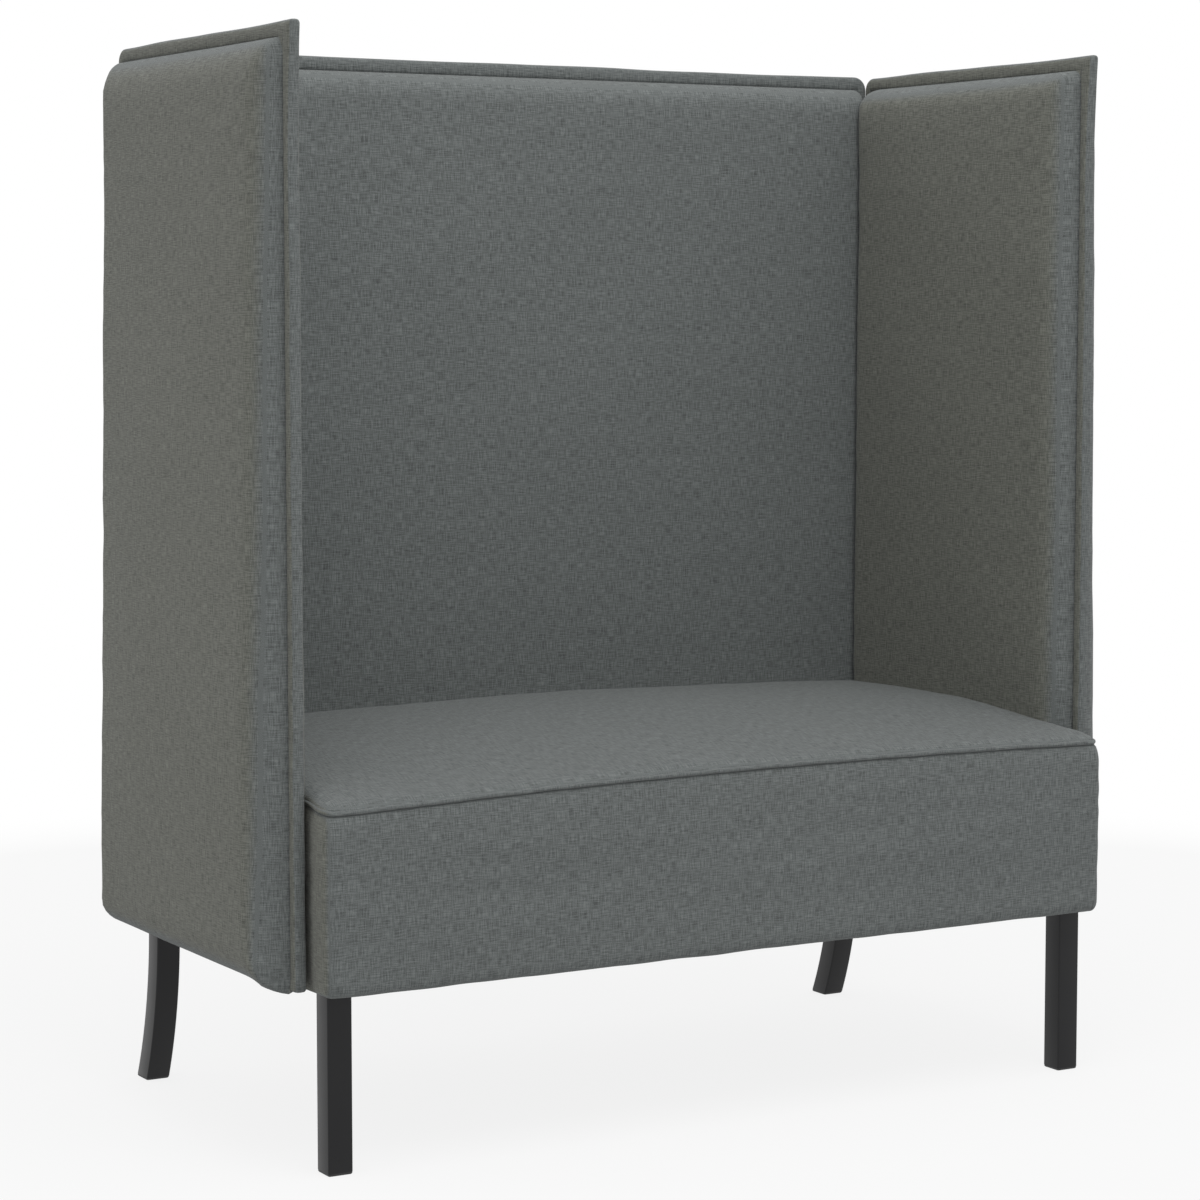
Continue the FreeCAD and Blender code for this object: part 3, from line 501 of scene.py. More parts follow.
# Seat boxing: one band of grey cloth round the seat, over wadding on the rails.
# It is sewn to the top cover along the welt and pulled under the frame at its foot.
# The two greys are painted light. The warm grey goes on faces turned to the sides, as if a warm
# light fell on them. The cool grey goes on faces turned to the front and up, as if a cool light
# fell there.
GREY_FRONT_COOL_LIGHT = (0.128, 0.139, 0.137, 1)
GREY_SIDE_WARM_LIGHT = (0.137, 0.141, 0.122, 1)
THREAD_PITCH = 0.0017
THREAD_WANDER = 0.0012
SLUBS_ALONG = 64.0
SLUBS_BESIDE = 860.0
BOXING_ROUND = 0.015
SEAT_TURN_STEPS = 8
BOXING_STEP = 0.009
BOXING_BULGE = 0.0012
BOXING_LEVELS = 44
BOXING_WAVES = ((0.0006, 0.09), (0.0012, 0.3))
BOXING_HEM = ((0.034, 0.0, -0.0001), (0.0075, 0.9, -0.0001),
              (0.0055, 0.9, -0.0008), (0.0035, 0.9, -0.0020))
HEM_WAVER = 0.0007
HEM_WAVE = 0.06
HEM_TOP = -0.0005
SHOULDER_REACH = 0.030
UNDER_STEPS = 7
UNDER_PULL = 0.0080
UNDER_REACH = 0.015
UNDER_EDGE = 0.0018
UNDER_DROP = 0.0022
SEAM_DROP = 0.0020
SEAM_PULL = 0.0015
SEAM_TURN = 0.008
SEAM_TURN_DROP = 0.0015
WELT_INSET = 0.0025
CORNER_PULL = 0.0055
CORNER_REACH = 0.030
FLARE = 0.0060
FLARE_START = -0.245
FLARE_RUN = 0.040

grey_cloth = Finish("grey_cloth")
x, y, z = grey_cloth.places()
facing = grey_cloth.node("ShaderNodeNewGeometry", {}, {}, "Normal")
facing_x = grey_cloth.node("ShaderNodeSeparateXYZ", {}, {"Vector": facing})
sideways = grey_cloth.spread(abs(facing_x), 0.66, 0.76, soft=True)
# Painted light: this mask rises on faces turned to the sides, where the grey is tinted warm as if
# lit by a warm side light.
side_warm_light = grey_cloth.spread(abs(facing_x), 0.72, 0.97, soft=True)
upward = grey_cloth.spread(abs(facing_x.other("Z")), 0.6, 0.78, soft=True)
across = x + (y - x) * sideways
upright = z + (y - z) * upward
wander = grey_cloth.grain(grey_cloth.vector(across, upright, 0.0), 60.0, 2.0)
warp = ((across + THREAD_WANDER * wander) * (math.pi / THREAD_PITCH)).sine()
weft = ((upright + THREAD_WANDER * wander) * (math.pi / THREAD_PITCH)).sine()
crossing = warp * weft
weft_way = grey_cloth.vector(across * SLUBS_ALONG, upright * SLUBS_BESIDE, 0.0)
warp_way = grey_cloth.vector(across * SLUBS_BESIDE, upright * SLUBS_ALONG, 5.0)
patches = grey_cloth.grain(grey_cloth.vector(across, upright, z), 5.0, 3.0)
weft_threads = grey_cloth.spread(grey_cloth.grain(weft_way, 1.0, 1.0), 0.35, 0.65)
warp_threads = grey_cloth.spread(grey_cloth.grain(warp_way, 1.0, 1.0), 0.35, 0.65)
threads = 0.5 * weft_threads + 0.5 * warp_threads
shade = 0.55 + 0.90 * threads + 0.06 * crossing + 0.10 * (patches - 0.5)
# The cloth's grey, with painted light: warm on faces turned to the sides and cool on faces turned
# to the front and up.
tone = grey_cloth.blend(side_warm_light, GREY_FRONT_COOL_LIGHT, GREY_SIDE_WARM_LIGHT)
grey_cloth.paint({
    "Base Color": grey_cloth.node("ShaderNodeVectorMath", {"operation": "SCALE"},
                                  {0: tone, "Scale": shade}),
    "Roughness": 0.93 - 0.1 * threads,
    "Specular IOR Level": 0.25,
    "Sheen Weight": 0.12,
    "Sheen Roughness": 0.5,
})
grey_cloth.bump(0.5 * abs(crossing) + threads, 0.0006, 0.55)

seat_low, seat_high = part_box("seat_boxing")
seat_half = seat_high.x
seat_front, seat_rear, seat_foot = seat_low.y, seat_high.y, seat_low.z
WELT_MIDDLE = 0.4505
WELT_ARCH = 0.010
WELT_TILT = 0.0048
WELT_REAR_RISE = 0.035


def welt_height(x, y):
    """Height of the seam between the boxing and the top cover."""
    back = (y - seat_front) / (seat_rear - seat_front)
    across = x / seat_half
    arched = WELT_MIDDLE + WELT_TILT * across * (1 - back) - WELT_ARCH * across ** 2
    return arched + WELT_REAR_RISE * back


def ripple(x, y, z, wave):
    """Smooth unevenness between about -1 and 1, with humps about a wave apart."""
    return 2 * noise.noise(Vector((x, y, z)) / wave)


def seat_outline(rounding, step):
    """The seat's plan, anticlockwise from above, as places with their outward ways."""
    middles = corner_middles((-seat_half, seat_half), (seat_front, seat_rear), rounding)
    outline = []
    for corner, (x, y) in enumerate(middles):
        for part in range(SEAT_TURN_STEPS + 1):
            turn = math.radians(90) * (corner + part / SEAT_TURN_STEPS)
            way = Vector((math.cos(turn), math.sin(turn), 0))
            outline.append((Vector((x, y, 0)) + rounding * way, way))
        start = outline[-1][0]
        end = Vector((*middles[(corner + 1) % 4], 0)) + rounding * way
        count = round((end - start).length / step)
        outline += [(start.lerp(end, n / count), way) for n in range(1, count)]
    return outline


def welt_inset(x, y):
    """How far the seam lies inside the boxing's face: most at the front corners."""
    corner = math.hypot(abs(x) - seat_half, y - seat_front)
    return WELT_INSET + CORNER_PULL * math.exp(-corner / CORNER_REACH)


def flare_share(y):
    """How far the seat swells at a depth: not at all beside the panels, fully in front of them."""
    share = min(max((FLARE_START - y) / FLARE_RUN, 0.0), 1.0)
    return share * share * (3 - 2 * share)


def flared(x, y, z):
    """A point of the seat, which swells sideways where it stands out in front of the panels."""
    return x * (1 + FLARE / seat_half * flare_share(y)), y, z


def tucked(place, way):
    """How far the boxing is drawn in at its foot: in front, and at the ends where they swell."""
    return UNDER_PULL * max(0.0, -way.y) ** 2 + FLARE * flare_share(place.y) * way.x ** 2


boxing_run = seat_outline(BOXING_ROUND, BOXING_STEP)
rings = []
under = list(BOXING_HEM)
for step in range(UNDER_STEPS + 1):
    turn = math.radians(90) * step / UNDER_STEPS
    share = 1 - math.sin(turn)
    under.append((UNDER_EDGE * share, share, UNDER_REACH * (1 - math.cos(turn)) - UNDER_DROP))
for inset, share, lift in under:
    ring = []
    for place, way in boxing_run:
        hem = HEM_WAVER * ripple(place.x, place.y, 3.0, HEM_WAVE) if lift < HEM_TOP else 0.0
        spot = place - way * (inset + share * tucked(place, way))
        ring.append(flared(spot.x, spot.y, seat_foot + lift + hem))
    rings.append(ring)
for level in range(1, BOXING_LEVELS + 1):
    share = level / BOXING_LEVELS
    ring = []
    for place, way in boxing_run:
        top = welt_height(place.x, place.y) - SEAM_DROP
        foot = seat_foot + UNDER_REACH
        wave = sum(size * ripple(place.x, place.y, share, wide) for size, wide in BOXING_WAVES)
        pull = welt_inset(place.x, place.y) + SEAM_PULL
        shoulder = max(0.0, 1 - (1 - share) * (top - foot) / SHOULDER_REACH)
        drawn = pull * (1 - math.sqrt(1 - shoulder ** 2))
        spot = place + way * ((BOXING_BULGE + wave) * math.sin(math.pi * share) - drawn)
        ring.append(flared(spot.x, spot.y, foot + share * (top - foot)))
    rings.append(ring)
ring = []
for place, way in boxing_run:
    spot = place - way * (welt_inset(place.x, place.y) + SEAM_TURN)
    ring.append(flared(spot.x, spot.y, welt_height(place.x, place.y) - SEAM_TURN_DROP))
rings.append(ring)
make_piece("boxing_band", *skinned(rings, capped=False), grey_cloth, "upholstery",
           "seat_boxing", "front_rail_padding", crease=70)


# Welt: a cord in a bias strip of the same cloth, sewn into the seam round the seat.
# It shows along the front, and the panels hide the rest.
WELT_RADIUS = 0.0030
WELT_SIDES = 12
WELT_TUCK = 0.0005
WELT_WAVER = 0.0004
WELT_WAVE = 0.05
rings = []
for place, way in boxing_run:
    ring = []
    middle = place - way * (welt_inset(place.x, place.y) + WELT_TUCK)
    height = welt_height(place.x, place.y) + WELT_WAVER * ripple(place.x, place.y, 7.0, WELT_WAVE)
    for step in range(WELT_SIDES):
        turn = math.radians(360) * step / WELT_SIDES
        spot = middle + way * (WELT_RADIUS * math.cos(turn))
        ring.append(flared(spot.x, spot.y, height + WELT_RADIUS * math.sin(turn)))
    rings.append(ring)
rings.append(rings[0])
make_piece("welt", *skinned(rings, capped=False), grey_cloth, "upholstery", "seat_welt", crease=180)


# Top cover: the crowned foam cushion of the seat under its cloth, rolled over at the front edge.
# It is sewn to the welt all round, and creeps over it in the middle of the front.
TOP_REAR = 0.488
TOP_CROWN = 0.019
TOP_FALL = 0.014
TOP_ROUND = 0.016
ROLL_REACH = 0.022
ROLL_LIFT = 0.009
ROLL_POWER = 1.6
LIP_OVERHANG = 0.0008
LIP_RISE = 0.0005
TOP_STEP = 0.014
TOP_SLACK = 0.0011
TOP_SLACK_WAVE = 0.16
TOP_WRINKLE = 0.0005
TOP_WRINKLE_WAVE = 0.045
TOP_PUCKER = 0.0006
PUCKER_WAVE = 0.022
PUCKER_REACH = 0.02
BASE_SHRINK = (0.985, 0.97)
BASE_DROP = 0.006
HELD_EDGE = 0.012


def quarter(share):
    """Rises from 0 to 1 as a quarter of a circle does."""
    return math.sqrt(max(0.0, 1 - (1 - min(max(share, 0.0), 1.0)) ** 2))


def seat_top(x, y):
    """Height of the crowned top, without its rolled edge."""
    u = min(abs(x) / seat_half, 1)
    t = (y - seat_front) / (seat_rear - seat_front)
    front = WELT_MIDDLE + WELT_TILT * x / seat_half - WELT_ARCH * u ** 2
    rear = TOP_REAR - TOP_FALL * u ** 2
    middle = (WELT_MIDDLE + TOP_REAR) / 2 + TOP_CROWN - TOP_FALL * u ** 2
    return front * (1 - t) * (1 - 2 * t) + 4 * middle * t * (1 - t) + rear * t * (2 * t - 1)


def edge_stops(half, step):
    """Places from -half to half, close together near both ends."""
    near = [0.0, 0.0008, 0.0022, 0.0045, 0.008, 0.0125, 0.0185, 0.0265, 0.037]
    inner = half - near[-1]
    count = round(2 * inner / step)
    middle = [-inner + 2 * inner * n / count for n in range(1, count)]
    return [d - half for d in near] + middle + [half - d for d in reversed(near)]


def round_corner(u, v, half_u, half_v, rounding):
    """Moves a place in a rectangle into one with rounded corners, and measures its depth."""
    a = (abs(u) - half_u + rounding) / rounding
    b = (abs(v) - half_v + rounding) / rounding
    if a <= 0 or b <= 0:
        return u, v, min(half_u - abs(u), half_v - abs(v))
    a, b = a * math.sqrt(1 - b * b / 2), b * math.sqrt(1 - a * a / 2)
    new_u = math.copysign(half_u + (a - 1) * rounding, u)
    new_v = math.copysign(half_v + (b - 1) * rounding, v)
    return new_u, new_v, rounding * max(0.0, 1 - math.hypot(a, b))


def grid_faces(columns, rows):
    """The faces of a grid of points, its skirt and its base, and the loop of points round the grid.

    The points of the base follow those of the grid, in the order of the loop.
    """
    faces = []
    for row in range(rows - 1):
        for column in range(columns - 1):
            first = row * columns + column
            faces.append((first, first + 1, first + 1 + columns, first + columns))
    loop = list(range(columns))
    loop += [row * columns + columns - 1 for row in range(1, rows)]
    loop += [(rows - 1) * columns + column for column in range(columns - 2, -1, -1)]
    loop += [row * columns for row in range(rows - 2, 0, -1)]
    base = columns * rows
    for n, point in enumerate(loop):
        following = (n + 1) % len(loop)
        faces.append((point, base + n, base + following, loop[following]))
    faces.append(tuple(range(base, base + len(loop))))
    return faces, loop


depth_half = (seat_rear - seat_front) / 2
depth_middle = (seat_rear + seat_front) / 2
us, vs = edge_stops(seat_half, TOP_STEP), edge_stops(depth_half, TOP_STEP)
points, held = [], []
for v in vs:
    for u in us:
        x, y, depth = round_corner(u, v, seat_half, depth_half, TOP_ROUND)
        drawn = welt_inset(x, y + depth_middle) - LIP_OVERHANG
        x *= 1 - drawn / seat_half
        y = y * (1 - drawn / depth_half) + depth_middle
        t = (y - seat_front) / (seat_rear - seat_front)
        roll = quarter(depth / ROLL_REACH)
        slack = TOP_SLACK * ripple(x, y, 0.0, TOP_SLACK_WAVE)
        slack += TOP_WRINKLE * ripple(x, y, 2.0, TOP_WRINKLE_WAVE)
        pucker = TOP_PUCKER * ripple(x, y, 5.0, PUCKER_WAVE) * math.exp(-depth / PUCKER_REACH)
        edge = welt_height(x, y) + LIP_RISE
        full = seat_top(x, y) + ROLL_LIFT * max(0.0, 1 - t) ** ROLL_POWER + slack + pucker
        points.append(flared(x, y, edge + (full - edge) * roll))
        if depth < HELD_EDGE:
            held.append(len(points) - 1)
faces, loop = grid_faces(len(us), len(vs))
for n in loop:
    x, y, z = points[n]
    y = depth_middle + (y - depth_middle) * BASE_SHRINK[1]
    held.append(len(points))
    points.append((x * BASE_SHRINK[0], y, z - BASE_DROP))
seat_cushion = make_piece("seat_cushion", points, faces, grey_cloth, "upholstery",
                          "seat_top_cover", "seat_foam", crease=70)
padded = [(seat_cushion, held)]


# Panel boards and their fixings: plywood boards bolted to the seat frame on nylon spacers.
# Tee nuts take the bolts, and long screws tie the back panel to the side panels.
plywood = Finish("plywood")
x, y, z = plywood.places()
birch = plywood.grain(plywood.vector(x * 40.0, y * 40.0, z * 5.0), 1.0, 4.0)
plies = ((x + y) * 2200.0).sine()
plywood.paint({
    "Base Color": plywood.blend(
        birch * 0.8 + 0.1 * plies, (0.42, 0.28, 0.16, 1), (0.68, 0.52, 0.34, 1)),
    "Roughness": 0.6 + 0.2 * birch,
})
plywood.bump(birch, 0.0003, 0.5)
wear(plywood, "left_panel_board", "right_panel_board", "back_panel_board")
wear(zinc, "panel_bolts", "panel_link_screws", "panel_tee_nuts")
wear(black_nylon, "panel_spacers")


# Panel borders: a padded strip of the grey cloth folded over the edge of each board.
# It is stitched through along a seam a finger's width inside the edge, and its upper front
# corners are drawn up into points.
FLANGE_EDGE = 0.014
FLANGE_TOP = 0.017
BORDER_STEP = 0.008
BORDER_HALF = 0.008
BORDER_SEAM = 0.0066
BULL_STEPS = 12
BULL_POWER = 0.62
SEAM_PROFILE = ((1.5, 0.0062), (1.04, 0.0062), (1.0, BORDER_SEAM), (0.93, 0.0074), (0.82, 0.0080))
SEAM_CORNER = 0.0015
END_FOLDS = ((0.0034, 0.45), (0.0026, 0.78), (0.0012, 0.94))
FOLD_MIDDLE = 0.6
RIM_WAVER = 0.0010
RIM_WAVE = 0.14
PLUMPNESS = 0.05
PLUMP_WAVE = 0.05
PLUMP_END = 0.9
TURN_STEPS = 8
EAR_ROUND = 0.0025
EAR_REACH = 0.060
EAR_POWER = 1.4
EAR_PULL = Vector((-0.0060, 0.0016))
PANEL_CORNER = 0.018


def edge_path(corners, roundings, counts):
    """Places along an open run with rounded corners, each with the way to its left."""
    path = []
    start = corners[0]
    for n in range(1, len(corners)):
        before, corner = corners[n - 1], corners[n]
        way = (corner - before).normalized()
        rounding = roundings[n]
        end = corner - way * rounding
        left = Vector((-way.y, way.x))
        path += [(start.lerp(end, k / counts[n - 1]), left) for k in range(counts[n - 1] + 1)]
        if n == len(corners) - 1:
            break
        following = (corners[n + 1] - corner).normalized()
        centre = end - left * rounding
        for k in range(1, TURN_STEPS):
            turn = math.radians(90) * k / TURN_STEPS
            spoke = left * math.cos(turn) + way * math.sin(turn)
            path.append((centre + spoke * rounding, spoke))
        start = corner + following * rounding
    return path


def bull_profile():
    """The border's section: the share of the way in from the edge to the seam, and across."""
    profile = list(SEAM_PROFILE)
    depth = BORDER_HALF / FLANGE_EDGE
    for step in range(BULL_STEPS + 1):
        turn = math.radians(90) * (1 - 2 * step / BULL_STEPS)
        c, s = max(math.cos(turn), 0.0) ** BULL_POWER, math.sin(turn)
        profile.append((depth * (1 - c), BORDER_HALF * math.copysign(abs(s) ** BULL_POWER, s)))
    return profile + [(p, -q) for p, q in reversed(SEAM_PROFILE)]


def make_border(panel, corners, roundings, to_space, ears):
    """A border along the free edges of one panel. Keeps the lines of its two seams."""
    counts = [round((b - a).length / BORDER_STEP) for a, b in zip(corners, corners[1:])]
    insets = ((FLANGE_EDGE, 0), (FLANGE_EDGE, -FLANGE_TOP),
              (-FLANGE_EDGE, -FLANGE_TOP), (-FLANGE_EDGE, 0))
    inner = [corner + Vector(inset) for corner, inset in zip(corners, insets)]
    tight = [max(r - FLANGE_TOP, SEAM_CORNER) if r else 0.0 for r in roundings]
    rim = edge_path(corners, roundings, counts)
    seam_line = edge_path(inner, tight, counts)
    stations = [(rim[0], seam_line[0], drop, shrunk) for drop, shrunk in END_FOLDS]
    stations += [(edge, sewn, 0.0, 1.0) for edge, sewn in zip(rim, seam_line)]
    stations += [(rim[-1], seam_line[-1], drop, shrunk) for drop, shrunk in reversed(END_FOLDS)]
    rings = []
    for (place, out), (sewn, _), drop, shrunk in stations:
        pull = out * (RIM_WAVER * (1 + ripple(place.x, place.y, 1.0, RIM_WAVE)))
        for ear in ears:
            pull = pull + EAR_PULL * math.exp(-((place - ear).length / EAR_REACH) ** EAR_POWER)
        plump = 1 + PLUMPNESS * ripple(place.x, place.y, 4.0, PLUMP_WAVE)
        ring = []
        for p, q in bull_profile():
            inward = FOLD_MIDDLE + (p - FOLD_MIDDLE) * shrunk
            spot = place.lerp(sewn, inward) + pull * max(0.0, 1 - p)
            swell = q * plump if 0 < p < PLUMP_END else q
            ring.append(to_space(spot - Vector((0, drop)), swell * shrunk))
        rings.append(ring)
    make_piece(f"{panel}_border", *skinned(rings), grey_cloth, "upholstery",
               f"{panel}_panel_border", crease=60)
    for q in (BORDER_SEAM, -BORDER_SEAM):
        seams.append([to_space(place, q) for place, out in seam_line])


def panel_corners(low, high, axis):
    """The corners of a panel's face, from the first lower one over the top to the last."""
    start, end = low[axis], high[axis]
    corners = ((start, low.z), (start, high.z), (end, high.z), (end, low.z))
    return [Vector(corner) for corner in corners]


side_low, side_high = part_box("right_panel_border")
side_middle = (side_low.x + side_high.x) / 2
back_low, back_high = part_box("back_panel_border")
back_middle = (back_low.y + back_high.y) / 2
side_corners = panel_corners(side_low, side_high, 1)
front_top = side_corners[1]
SIDES = (("left", -1), ("right", 1))
seams = []
for side_name, way in SIDES:
    def side_space(place, q):
        return way * (side_middle + q), place.x, place.y

    make_border(side_name, side_corners, (0, EAR_ROUND, PANEL_CORNER, 0), side_space, [front_top])


def back_space(place, q):
    return place.x, back_middle - q, place.y


make_border("back", panel_corners(back_low, back_high, 0), (0, PANEL_CORNER, PANEL_CORNER, 0),
            back_space, [])


# Seam stitches: a run of short grey thread stitches along the seam on both faces of each border.
# A node tree lays one stitch after another along the seam lines.
STITCH_PITCH = 0.0052
STITCH_LENGTH = 0.0038
STITCH_THREAD = 0.0011

grey_thread = Finish("grey_thread")
x, y, z = grey_thread.places()
twist = ((x + y + z) * 9000.0).sine()
grey_thread.paint({
    "Base Color": grey_thread.blend(
        0.5 + 0.5 * twist, (0.045, 0.049, 0.048, 1), (0.085, 0.092, 0.09, 1)),
    "Roughness": 0.7,
})
grey_thread.bump(twist, 0.0001, 0.5)

sewing = NodeWork("seam_stitches")
pitch = sewing.size("pitch", STITCH_PITCH)
length = sewing.size("length", STITCH_LENGTH)
thread = sewing.size("thread", STITCH_THREAD)
run = sewing.node("GeometryNodeMeshToCurve", {}, {"Mesh": sewing.entry.other(0)})
marks = sewing.node("GeometryNodeResampleCurve", {"mode": "LENGTH"},
                    {"Curve": run, "Length": pitch})
heading = sewing.node("GeometryNodeInputTangent", {}, {})
turned = sewing.node("FunctionNodeAlignRotationToVector", {"axis": "X"}, {"Vector": heading})
bead = sewing.node("GeometryNodeMeshUVSphere", {}, {"Segments": 6, "Rings": 4, "Radius": 0.5})
stitch = sewing.node("GeometryNodeTransform", {}, {
    "Geometry": bead, "Scale": sewing.vector(length, thread, thread),
})
sewn = sewing.node("GeometryNodeInstanceOnPoints", {}, {
    "Points": marks, "Instance": stitch, "Rotation": turned,
})
points, edges = [], []
for line in seams:
    start = len(points)
    points += line
    edges += [(start + n, start + n + 1) for n in range(len(line) - 1)]
seam_stitches = sewing.run("seam_stitches", points, edges, sewn, grey_thread)


# Panel pads: shaped foam under tight cloth on both faces of each panel, sewn down along the border.
# The inner pads and the back pad end on the seat, and the outer ones run down to the frame's foot.
PAD_LIP = 0.0012
PAD_FALL = 0.002
PAD_STEP = 0.014
PAD_SQUARE = 5
PAD_SLACK = 0.0010
PAD_SLACK_WAVE = 0.17
PAD_WRINKLE = 0.0004
PAD_WRINKLE_WAVE = 0.05
PAD_PUCKER = 0.0010
PAD_PUCKER_REACH = 0.014
FOOT_SQUARE = 0.6
FOOT_SQUARE_RISE = 0.07
EAR_LIFT = 0.0016
EAR_LIFT_REACH = 0.05
CRUMPLE = 0.0038
CRUMPLE_REACH = 0.016
CRUMPLE_WAVE = 0.013
CREASE_WAVE = 0.011
HEM_WRAP = 0.0123
HEM_DROP = 0.0012
SAG = 0.0070
SAG_RUN = 0.012
SAG_RISE = 0.030


def make_pad(name, ends_u, ends_v, thickness, rolls, to_space, foot=None, ears=()):
    """A pad on a board: u across, v up, and its thickness off the board.

    A roll is the reach of a rounded edge and its fullness, for the first and last u and the lower
    and upper v. The foot, if any, is where the pad ends on the seat.
    """
    half_u, half_v = (ends_u[1] - ends_u[0]) / 2, (ends_v[1] - ends_v[0]) / 2
    us = [(ends_u[0] + ends_u[1]) / 2 + u for u in edge_stops(half_u, PAD_STEP)]
    vs = [(ends_v[0] + ends_v[1]) / 2 + v for v in edge_stops(half_v, PAD_STEP)]

    def level(u, v):
        if not foot:
            return v
        ground = foot(u)
        return ground + (v - ends_v[0]) * (ends_v[1] - ground) / (ends_v[1] - ends_v[0])

    def corner_sag(depths):
        if foot or not ears:
            return 0.0
        run = depths[0] / SAG_RUN
        return SAG * run * math.exp(1 - run - depths[2] / SAG_RISE)

    points, held = [], []
    for v in vs:
        for u in us:
            height = level(u, v)
            depths = (u - ends_u[0], ends_u[1] - u, v - ends_v[0], ends_v[1] - v)
            squared = 0.0 if foot else FOOT_SQUARE * math.exp(-depths[2] / FOOT_SQUARE_RISE)
            shrunk = (1 - squared, 1.0, 1.0, 1.0)
            lean, fullness = 0.0, 0.0
            for depth, (reach, full), shrink in zip(depths, rolls, shrunk):
                near = max(0.0, 1 - depth / (reach * shrink)) if reach else 0.0
                lean += near ** PAD_SQUARE
                fullness += full * near ** PAD_SQUARE
            fullness = fullness / lean if lean > 1e-9 else 2.0
            lean = min(1.0, lean ** (1 / PAD_SQUARE))
            rise = (1 - lean ** fullness) ** (1 / fullness)
            edge = min(depths[0], depths[1], depths[3])
            thick = thickness(u, height)
            crown = PAD_FALL * ((u - ends_u[0] - half_u) / half_u) ** 2
            slack = PAD_SLACK * ripple(u, height, thick, PAD_SLACK_WAVE)
            slack += PAD_WRINKLE * ripple(u, height, 3.0, PAD_WRINKLE_WAVE)
            pucker = PAD_PUCKER * ripple(u, height, 6.0, PUCKER_WAVE)
            pucker *= math.exp(-edge / PAD_PUCKER_REACH)
            off = PAD_LIP + (thick - crown - PAD_LIP + slack + pucker) * rise
            for ear_u, ear_v in ears:
                height += EAR_LIFT * math.exp(-math.hypot(u - ear_u, v - ear_v) / EAR_LIFT_REACH)
            height -= corner_sag(depths)
            if not foot:
                fold = CRUMPLE * math.exp(-math.hypot(depths[0], depths[2]) / CRUMPLE_REACH)
                height += fold * ripple(u, height, 8.0, CRUMPLE_WAVE)
                off += fold * rise * ripple(u, height, 9.0, CREASE_WAVE)
            points.append(to_space(u, height, off))
            if min(depths) < HELD_EDGE:
                held.append(len(points) - 1)
    faces, loop = grid_faces(len(us), len(vs))
    for n in loop:
        u, v = us[n % len(us)], vs[n // len(us)]
        held.append(len(points))
        if v == vs[0] and not foot:
            points.append(to_space(u, v - HEM_DROP, -HEM_WRAP))
        else:
            points.append(to_space(u, level(u, v), 0.0))
    pad = make_piece(name, points, faces, grey_cloth, "upholstery",
                     f"{name}_cover", f"{name}_pad", crease=70)
    padded.append((pad, held))


OUTER_TOP, OUTER_LOW = 0.0315, 0.0515
INNER_FRONTS = {"left": 0.031, "right": 0.037}
INNER_SWELL, INNER_SAG = 0.004, 0.004
CONTACT = 0.002
REAR_LAP = 0.007
FRONT_ROLLS = {"left": (0.070, 1.5), "right": (0.038, 2.0)}
OUTER_ROLL = (0.042, 1.8)
TIGHT_ROLL = (0.020, 2.2)
TOP_ROLL = (0.034, 2.0)
HIGH_ROLL = (0.050, 2.0)
FOOT_ROLL = (0.042, 2.0)
SQUEEZED_ROLL = (0.010, 2.0)
NO_ROLL = (0.0, 2.0)
for side_name, way in SIDES:
    low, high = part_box(f"{side_name}_outer_cover")
    board_low, board_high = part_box(f"{side_name}_panel_board")
    outer_face = max(abs(board_low.x), abs(board_high.x))
    inner_face = min(abs(board_low.x), abs(board_high.x))

    def outer_space(u, height, off):
        return way * (outer_face + off), u, height

    def outer_thick(u, height):
        share = (height - seat_foot) / (side_high.z - seat_foot)
        return OUTER_LOW + (OUTER_TOP - OUTER_LOW) * share

    make_pad(f"{side_name}_outer", (low.y, high.y + REAR_LAP), (low.z, high.z), outer_thick,
             (OUTER_ROLL, TIGHT_ROLL, FOOT_ROLL, HIGH_ROLL), outer_space, ears=[(low.y, high.z)])

    low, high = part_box(f"{side_name}_inner_cover")
    inner_full = high.x - low.x

    def inner_space(u, height, off):
        return way * (inner_face - off), u, height

    def inner_thick(u, height):
        share = (u - low.y) / (high.y - low.y)
        fallen = (high.z - height) / (high.z - low.z)
        rear = inner_full + INNER_SWELL + INNER_SAG * fallen
        return INNER_FRONTS[side_name] + (rear - INNER_FRONTS[side_name]) * share

    def inner_foot(u):
        return seat_top(way * (inner_face - inner_full / 2), u) - CONTACT

    make_pad(f"{side_name}_inner", (low.y, high.y + CONTACT), (low.z, high.z), inner_thick,
             (FRONT_ROLLS[side_name], SQUEEZED_ROLL, NO_ROLL, TOP_ROLL), inner_space, inner_foot,
             [(low.y, high.z)])

front_low, front_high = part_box("back_front_cover")


def front_space(u, height, off):
    return u, front_high.y - off, height


def even(thickness):
    """The thickness of a pad that is alike all over."""
    return lambda u, height: thickness


def front_foot(u):
    return seat_top(u, (front_high.y + front_low.y) / 2) - CONTACT


make_pad("back_front", (front_low.x, front_high.x), (front_low.z, front_high.z),
         even(front_high.y - front_low.y), (TIGHT_ROLL, TIGHT_ROLL, NO_ROLL, TOP_ROLL),
         front_space, front_foot)

rear_low, rear_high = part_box("back_rear_cover")


def rear_space(u, height, off):
    return u, rear_low.y + off, height


make_pad("back_rear", (rear_low.x, rear_high.x), (rear_low.z, rear_high.z),
         even(rear_high.y - rear_low.y), (TOP_ROLL, TOP_ROLL, FOOT_ROLL, TOP_ROLL), rear_space)


# Foam under the covers: a cloth simulation lets the foam press out every cushion and pad.
# The covers are held along their seams, and the press is scaled down to a few millimetres.
PRESS_FRAMES = 20
PRESS_FORCE = 4.0
PRESS_LIMIT = 0.0035


